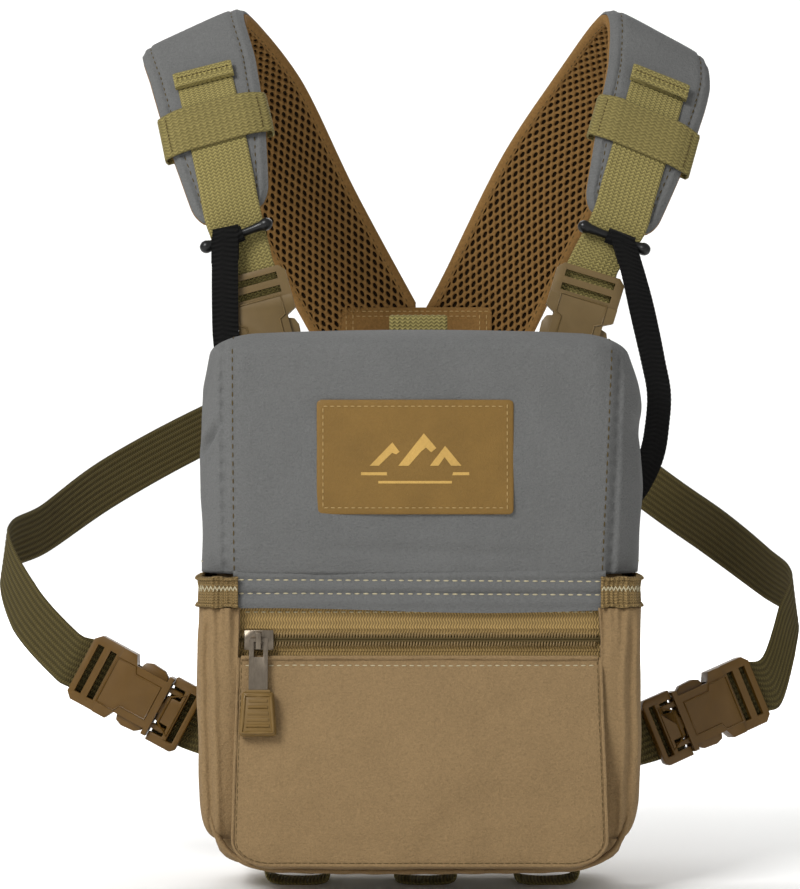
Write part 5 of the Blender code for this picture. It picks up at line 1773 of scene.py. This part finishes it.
class HARNESS_OT_shoulder_webbing(bpy.types.Operator):
    """Make the webbing, keeper and tab on each shoulder"""

    bl_idname = "harness.shoulder_webbing"
    bl_label = "Shoulder webbing"

    def execute(self, context):
        for _, name in SIDES:
            pad = Route(SHOULDER[name])
            self.make_strap(name, pad)
            self.make_keeper(name, pad)
            self.make_tab(name, pad)
        return {"FINISHED"}

    def make_strap(self, name, pad):
        buckle = Place("shoulder_" + name)
        lift = PAD_OUTSIDE + GAP + WEBBING / 2
        down = []
        for i in range(5):
            point, width, outward, _ = pad.at(TAB_AT * (4 - i) / 4)
            down.append((point + outward * lift, -width, SHOULDER_WEBBING_HALF))
        behind = BUCKLE_BAR_BACK - 2 * GAP - WEBBING / 2
        for u in (-0.004, 0.004, BUCKLE_SLOT_END + 0.001):
            half = WEBBING_HALF + (0.0008 if u > 0 else 0.0)
            down.append((buckle.point(u, 0.0, behind), -buckle.width, half))
        route = Route(down)
        strap = sweep(route, 0.0, route.length, ribbed(WEBBING, 11, 0.0002), 0.0016)
        keep(strap, "strap_webbing_" + name, finish("khaki"),
             nodes=("shoulder_webbing_" + name,))

    def make_keeper(self, name, pad):
        half = pad.at(KEEPER_AT)[3] + 0.0024
        low = -MESH_INSIDE - KEEPER_EASE - KEEPER_THICKNESS
        high = PAD_OUTSIDE + GAP + WEBBING + KEEPER_EASE + KEEPER_THICKNESS

        def section(_half, distance):
            ridge = 0.00016 * math.sin((distance - KEEPER_AT) * math.tau / 0.0024)
            top = []
            for i in range(41):
                share = 1 - i / 20
                across = half * share
                beyond = max(0.0, abs(across) - 0.0150) / (half - 0.0150)
                drop = (high - 0.0036) * min(1.0, beyond) ** 1.6
                top.append((across, high - drop + ridge))
            edge = [(-half - 0.0007, 0.0015), (-half - 0.0008, -0.0015)]
            base = [(half * (i / 10 - 1), low - ridge) for i in range(21)]
            far = [(half + 0.0008, -0.0015), (half + 0.0007, 0.0015)]
            return top + edge + base + far

        start, end = KEEPER_AT - KEEPER_LENGTH / 2, KEEPER_AT + KEEPER_LENGTH / 2
        band = sweep(pad, start, end, section, 0.0006, ends=False)
        apply(band, "SOLIDIFY", thickness=0.0010, offset=-1.0)
        keep(band, "keeper_" + name, finish("keeper"), nodes=("keeper_band_" + name,))
        tree = surface_tree(band)
        rows = []
        for edge in (-1, 1):
            a = pad.on(start + 0.002, edge * (half - 0.003), high)
            b = pad.on(end - 0.002, edge * (half - 0.003), high)
            rows.append(lay_on(tree, line(a, b)))
        sew("keeper_stitches_" + name, rows, finish("dark_thread"), pitch=0.0022, length=0.0016)

    def make_tab(self, name, pad):
        middle = PAD_OUTSIDE + GAP + WEBBING + 2 * GAP + WEBBING / 2

        def section(_half, distance):
            half = SHOULDER_WEBBING_HALF + 0.0010
            ridge = 0.00028 * math.sin((distance - TAB_AT) * math.tau / 0.0026)
            waist = 0.0006 * math.exp(-(((distance - TAB_AT) / 0.0009) ** 2))
            top = []
            for i in range(21):
                share = 1 - i / 10
                edge = 0.0004 if abs(share) == 1 else 0.0
                top.append((half * share, middle + 0.0013 + ridge - waist - edge))
            return top + [(a, middle - 0.0009) for a, _ in reversed(top)]

        start, end = TAB_AT - TAB_LENGTH / 2, TAB_AT + TAB_LENGTH / 2
        tab = sweep(pad, start, end, section, 0.0005)
        keep(tab, "tab_" + name, finish("khaki"), nodes=("webbing_tab_" + name,))
        tree = surface_tree(tab)
        a = pad.on(TAB_AT, -SHOULDER_WEBBING_HALF, middle + 0.003)
        b = pad.on(TAB_AT, SHOULDER_WEBBING_HALF, middle + 0.003)
        sew("tab_stitches_" + name, [lay_on(tree, line(a, b))], finish("dark_thread"), pitch=0.0019,
            length=0.0015)


class HARNESS_OT_tethers(bpy.types.Operator):
    """Make the black tethers and the bars they hang from"""

    bl_idname = "harness.tethers"
    bl_label = "Tethers"

    def execute(self, context):
        bars = {"left": ((-0.0901, 0.0010, 0.1750), (0.934, 0, 0.358)),
                "right": ((0.0970, 0.0010, 0.1738), (0.935, 0, -0.355))}
        for _side, name in SIDES:
            mesh = NODES["strap_bar_" + name].data.copy()
            bar = bpy.data.objects.new("bar", mesh)
            context.scene.collection.objects.link(bar)
            edit(bar, (bpy.ops.mesh.remove_doubles, {"threshold": 1e-5}),
                 (bpy.ops.mesh.dissolve_limited, {"angle_limit": math.radians(1)}))
            subdivide(bar, 1)
            tidy(bar)
            keep(bar, "bar_" + name, finish("black_plastic"),
                 nodes=("strap_bar_" + name,))

            def section(half, distance):
                rib = 0.00016 * math.sin(distance * math.tau / 0.0023)
                top = [(half * (1 - i / 4), 0.0006 + rib) for i in range(9)]
                return top + [(a, -o) for a, o in reversed(top)]

            route = Route(TETHER[name])
            strap = sweep(route, 0.0, route.length, section, 0.00055)
            centre, along = (Vector(v) for v in bars[name])
            along.normalize()
            begin = Vector(TETHER[name][0][0])
            centre = centre + along * ((begin - centre).dot(along))
            up = Vector((0, -1, 0)).cross(along).normalized()
            ring = []
            for i in range(13):
                angle = math.tau * i / 12
                arm = up * math.cos(angle) * 0.0032 + Vector((0, -1, 0)) * math.sin(angle) * 0.0032
                ring.append((centre + arm, along, TETHER_HALF + 0.0004))
            loop_route = Route(ring, 4)
            loop = sweep(loop_route, 0.0, loop_route.length, section, 0.0006)
            fold_start = route.at(0.004)
            lower = [(route.on(d, 0.0, 0.0012), fold_start[1], TETHER_HALF + 0.0004)
                     for d in (0.004, 0.010, 0.017)]
            fold_route = Route(lower, 6)
            fold = sweep(fold_route, 0.0, fold_route.length, section, 0.0006)
            strap = join(strap, loop, fold)
            keep(strap, "tether_webbing_" + name, finish("black"),
                 nodes=("tether_" + name,))
            tree = surface_tree(strap)
            a, b = route.on(0.0175, -0.005, 0.003), route.on(0.0175, 0.005, 0.003)
            sew("tether_tack_" + name, [lay_on(tree, line(a, b))], finish("black_plastic"), pitch=0.0014,
                length=0.0011, radius=0.0004)
        return {"FINISHED"}


# ---------------------------------------------------------------- back and sides


class HARNESS_OT_yoke(bpy.types.Operator):
    """Make the yoke that joins the straps behind, and the loop on the bag's back"""

    bl_idname = "harness.yoke"
    bl_label = "Yoke and grab loop"

    def execute(self, context):
        low, high = (np.array(c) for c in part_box("yoke_plate"))
        box = SoftBox(low, high, (0.008, 0.0010, 0.008))
        plate = box.make(40)
        keep(plate, "yoke", finish("olive"), nodes=("yoke_plate",))
        tree = surface_tree(plate)
        edge, cross = 0.88, 0.82
        border = [(-edge, 1, -edge), (-edge, 1, edge), (edge, 1, edge), (edge, 1, -edge)]
        border.append(border[0])
        rows = [lay_on(tree, trace(box, border)),
                lay_on(tree, trace(box, [(-cross, 1, -cross), (cross, 1, cross)])),
                lay_on(tree, trace(box, [(-cross, 1, cross), (cross, 1, -cross)]))]
        sew("yoke_stitches", rows, finish("tan_thread"))

        low, high = (-0.0415, 0.1576, 0.0860), (0.0415, 0.1592, 0.1470)
        box = SoftBox(low, high, (0.003, 0.0007, 0.003),
                      shape=lambda p, c: ripple(p, 0.02, 0.0006, (0, -1, 0)))
        panel = box.make(40)
        keep(panel, "yoke_lining", finish("mesh"))
        tree = surface_tree(panel)
        rows = []
        for inset in (0.93, 0.84):
            border = [(-inset, -1, -0.9), (-inset, -1, inset), (inset, -1, inset), (inset, -1, -0.9)]
            rows.append(lay_on(tree, trace(box, border)))
        sew("yoke_lining_stitches", rows, finish("tan_thread"), pitch=0.0032)
        self.make_grab_loop()
        return {"FINISHED"}

    def make_grab_loop(self):
        inner = -0.0088 + GAP + WEBBING / 2
        outer = inner + WEBBING + 2 * GAP
        low, rim = 0.062 + 3 * GAP, 0.095
        top, spread = 0.1352 - WEBBING / 2, 0.0070
        near = -0.0068 + 2 * GAP + WEBBING / 2
        far = near + spread
        profile = [
            (inner, low), (inner, rim - 0.010), (near, rim), (near, top - spread / 2),
            (near + spread / 2, top), (far, top - spread / 2), (far, rim), (outer, rim - 0.014),
            (outer, low),
        ]
        route = Route([((0.0, y, z), (1, 0, 0), 0.0143) for y, z in profile], 8)
        loop = sweep(route, 0.0, route.length, ribbed(WEBBING, 10, 0.0004), 0.0014)
        keep(loop, "grab_loop_webbing", finish("khaki"), nodes=("grab_loop",))
        tree = surface_tree(loop)
        rows = []
        for z in (0.068, 0.071, 0.078, 0.081):
            rows.append(lay_on(tree, line((-0.012, 0.002, z), (0.012, 0.002, z))))
        sew("grab_loop_tacks", rows, finish("dark_thread"), pitch=0.0018, length=0.0015)


class HARNESS_OT_side_straps(bpy.types.Operator):
    """Make the side straps and the short pieces that hold the buckles to the bag"""

    bl_idname = "harness.side_straps"
    bl_label = "Side straps"

    def execute(self, context):
        ribs = context.scene.harness_sizes.side_ribs
        depth = context.scene.harness_sizes.rib_depth
        behind = BUCKLE_BAR_BACK - 2 * GAP - WEBBING / 2
        for _side, name in SIDES:
            buckle = Place("side_" + name)
            stations = list(SIDE[name])
            straight = Vector(stations[-1][1]).dot(buckle.width) > 0
            across = buckle.width if straight else -buckle.width
            for u in (-0.010, 0.0, BUCKLE_SLOT_END + 0.001):
                half = WEBBING_HALF + (0.0008 if u >= 0 else 0.0)
                stations.append((buckle.point(u, 0.0, behind), across, half))
            route = Route(stations, 24)
            strap = sweep(route, 0.0, route.length, ribbed(WEBBING, ribs, depth), 0.0022)
            keep(strap, "waist_strap_" + name, finish("olive"),
                 nodes=("side_strap_" + name,))
        self.make_stubs()
        return {"FINISHED"}

    def make_stubs(self):
        bag_back, bag_top, bag_half = -0.0088, 0.095, 0.096
        sewn = bag_back + 2 * GAP + WEBBING / 2
        for side, name in SIDES:
            buckle = Place("shoulder_" + name)
            ends = [
                (side * 0.0660, 0.0045, bag_top - 0.0010),
                (side * 0.0652, (sewn + 0.0045) / 2, bag_top - 0.0070),
                (side * 0.0645, sewn + GAP, bag_top - 0.0140),
                (side * 0.0642, sewn, bag_top - 0.0185),
                (side * 0.0640, sewn, 0.0675),
            ]
            self.make_stub("shoulder_" + name, buckle, [(e, buckle.width) for e in ends])
            buckle = Place("side_" + name)
            end = buckle.point(PLUG_END + 0.012, 0.0, -2 * PLUG_HALF_THICKNESS)
            end.x = side * (bag_half + 2 * GAP)
            upright = Vector((0, 0, 1 if buckle.width.z > 0 else -1))
            self.make_stub("side_" + name, buckle, [(end, upright)])

    def make_stub(self, name, buckle, ends):
        behind = -PLUG_HALF_THICKNESS - 2 * GAP - WEBBING / 2
        stations = []
        for u in (0.0450, PLUG_END - 0.001):
            stations.append((buckle.point(u, 0.0, behind), buckle.width, WEBBING_HALF + 0.0008))
        stations += [(point, width, WEBBING_HALF) for point, width in ends]
        route = Route(stations, 6)
        stub = sweep(route, 0.0, route.length, ribbed(WEBBING, 9, 0.0004), 0.0016)
        keep(stub, "stub_webbing_" + name, finish("olive"),
             nodes=("strap_stub_" + name,))


class HARNESS_OT_buckles(bpy.types.Operator):
    """Make the side-release buckles"""

    bl_idname = "harness.buckles"
    bl_label = "Buckles"

    def execute(self, context):
        for name in BUCKLES:
            plastic = finish("tan_plastic" if name.startswith("shoulder") else "plastic")
            place = Place(name)
            socket = rounded_copy("buckle_socket_" + name, 0.0007, 3)
            rim = self.outline(place, [(0.0150, 0.0118), (0.0245, 0.0118), (0.0262, 0.0086),
                                       (0.0400, 0.0086)], 0.0044)
            socket = join(socket, tube(rim, 0.0006, 8, closed=True))
            keep(socket, "socket_" + name, plastic,
                 nodes=("buckle_socket_" + name,))
            plug = rounded_copy("buckle_plug_" + name, 0.0006, 2)
            rim = self.outline(place, [(0.0465, 0.0070), (0.0530, 0.0110)], 0.0024)
            plug = join(plug, tube(rim, 0.0006, 8, closed=True))
            keep(plug, "plug_" + name, plastic, nodes=("buckle_plug_" + name,))
            for which in ("a", "b"):
                node = "buckle_prong_" + name + "_" + which
                prong = rounded_copy(node, 0.0006, 2)
                keep(prong, "prong_piece_" + name + "_" + which, plastic,
                     "prong_" + name + "_" + which, (node,))
        return {"FINISHED"}

    def outline(self, place, upper, n):
        points = [place.point(u, v, n) for u, v in upper]
        return points + [place.point(u, -v, n) for u, v in reversed(upper)]


class HARNESS_OT_inner_parts(bpy.types.Operator):
    """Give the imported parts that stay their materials"""

    bl_idname = "harness.inner_parts"
    bl_label = "Inner parts"

    def execute(self, context):
        for node, name in (("back_stiffener", "board"), ("lid_magnet", "magnet"),
                           ("bag_magnet", "magnet")):
            mesh = NODES[node].data
            mesh.materials.clear()
            mesh.materials.append(finish(name))
        return {"FINISHED"}


class HARNESS_OT_stage(bpy.types.Operator):
    """Make the floor and backdrop, the lights and the camera"""

    bl_idname = "harness.stage"
    bl_label = "Stage"

    def execute(self, context):
        scene = context.scene
        floor_z = CAD_BOX[0][2] - 0.0006
        made, row, column = add_grid(2, 40)
        x = -5.0 + 5.0 * row
        share = column / 40
        run = -5.0 + 9.0 * np.clip(share / 0.5, 0, 1)
        bend = np.clip((share - 0.5) / 0.25, 0, 1) * math.pi / 2
        rise = np.clip((share - 0.75) / 0.25, 0, 1) * 3.0
        y = run + np.sin(bend) * 1.0
        z = floor_z + (1 - np.cos(bend)) * 1.0 + rise
        set_coordinates(made.data, np.stack([x, y, z], 1))
        alone(made)
        bpy.ops.object.shade_smooth()
        paper = Finish("backdrop_paper", 0.95)
        colour = tuple(scene.harness_colours.paper)
        soft = paper.noise(3.0, 2.0)
        paper.colour(paper.blend(soft, shade(colour, 0.99), shade(colour, 1.01)))
        made.name = made.data.name = "backdrop"
        made.data.materials.append(paper.done())

        world = bpy.data.worlds.new("studio")
        scene.world = world
        world.use_nodes = True
        sky = world.node_tree.nodes["Background"]
        sky.inputs["Color"].default_value = (1.0, 1.0, 1.0, 1.0)
        sky.inputs["Strength"].default_value = 0.44
        lights = (
            ("key", (-0.95, -1.25, 1.15), 0.7, 28.0),
            ("fill", (0.9, -1.50, 0.20), 1.2, 1.6),
            ("rim", (0.2, 1.4, 1.1), 1.0, 10.0),
            ("backdrop_light", (0.0, 1.6, 1.9), 2.2, 90.0),
        )
        for name, place, size, power in lights:
            light = bpy.data.lights.new(name, "AREA")
            light.size = size
            light.energy = power
            lamp = bpy.data.objects.new(name, light)
            lamp.location = place
            aim = Vector((0, 3.0, 0.4)) if name == "backdrop_light" else Vector((0, 0.03, 0.05))
            lamp.rotation_euler = (aim - Vector(place)).to_track_quat("-Z", "Y").to_euler()
            scene.collection.objects.link(lamp)
        camera_data = bpy.data.cameras.new("camera")
        camera_data.lens = 115.0
        camera_data.sensor_width = 36.0
        camera = bpy.data.objects.new("camera", camera_data)
        camera.location = (-0.009, -1.405, 0.0715)
        camera.rotation_euler = (math.radians(90), 0.0, 0.0)
        scene.collection.objects.link(camera)
        scene.camera = camera
        scene.view_settings.view_transform = "Standard"
        return {"FINISHED"}


PIECES = (
    HARNESS_OT_stage,
    HARNESS_OT_inner_parts,
    HARNESS_OT_bag,
    HARNESS_OT_back_pad,
    HARNESS_OT_front_pocket,
    HARNESS_OT_side_pockets,
    HARNESS_OT_bottom_webbing,
    HARNESS_OT_zip,
    HARNESS_OT_zip_pull,
    HARNESS_OT_lid,
    HARNESS_OT_lid_hinge,
    HARNESS_OT_patch,
    HARNESS_OT_shoulder_pads,
    HARNESS_OT_shoulder_webbing,
    HARNESS_OT_tethers,
    HARNESS_OT_yoke,
    HARNESS_OT_side_straps,
    HARNESS_OT_buckles,
)


class HARNESS_PT_panel(bpy.types.Panel):
    """The harness pack's sizes, colours and pieces"""

    bl_label = "Binocular harness pack"
    bl_idname = "HARNESS_PT_panel"
    bl_space_type = "VIEW_3D"
    bl_region_type = "UI"
    bl_category = "Harness"

    def draw(self, context):
        for group in (context.scene.harness_sizes, context.scene.harness_colours):
            box = self.layout.box()
            for key in group.bl_rna.properties.keys():
                if key not in ("rna_type", "name"):
                    box.prop(group, key)
        for piece in PIECES:
            self.layout.operator(piece.bl_idname)


CLASSES = (HarnessSizes, HarnessColours, *PIECES, HARNESS_PT_panel)


def register():
    for made in CLASSES:
        bpy.utils.register_class(made)
    bpy.types.Scene.harness_sizes = PointerProperty(type=HarnessSizes)
    bpy.types.Scene.harness_colours = PointerProperty(type=HarnessColours)


def unregister():
    del bpy.types.Scene.harness_colours
    del bpy.types.Scene.harness_sizes
    for made in reversed(CLASSES):
        bpy.utils.unregister_class(made)


def main():
    register()
    for piece in PIECES:
        group, name = piece.bl_idname.split(".")
        getattr(getattr(bpy.ops, group), name)()


if __name__ == "__main__":
    main()
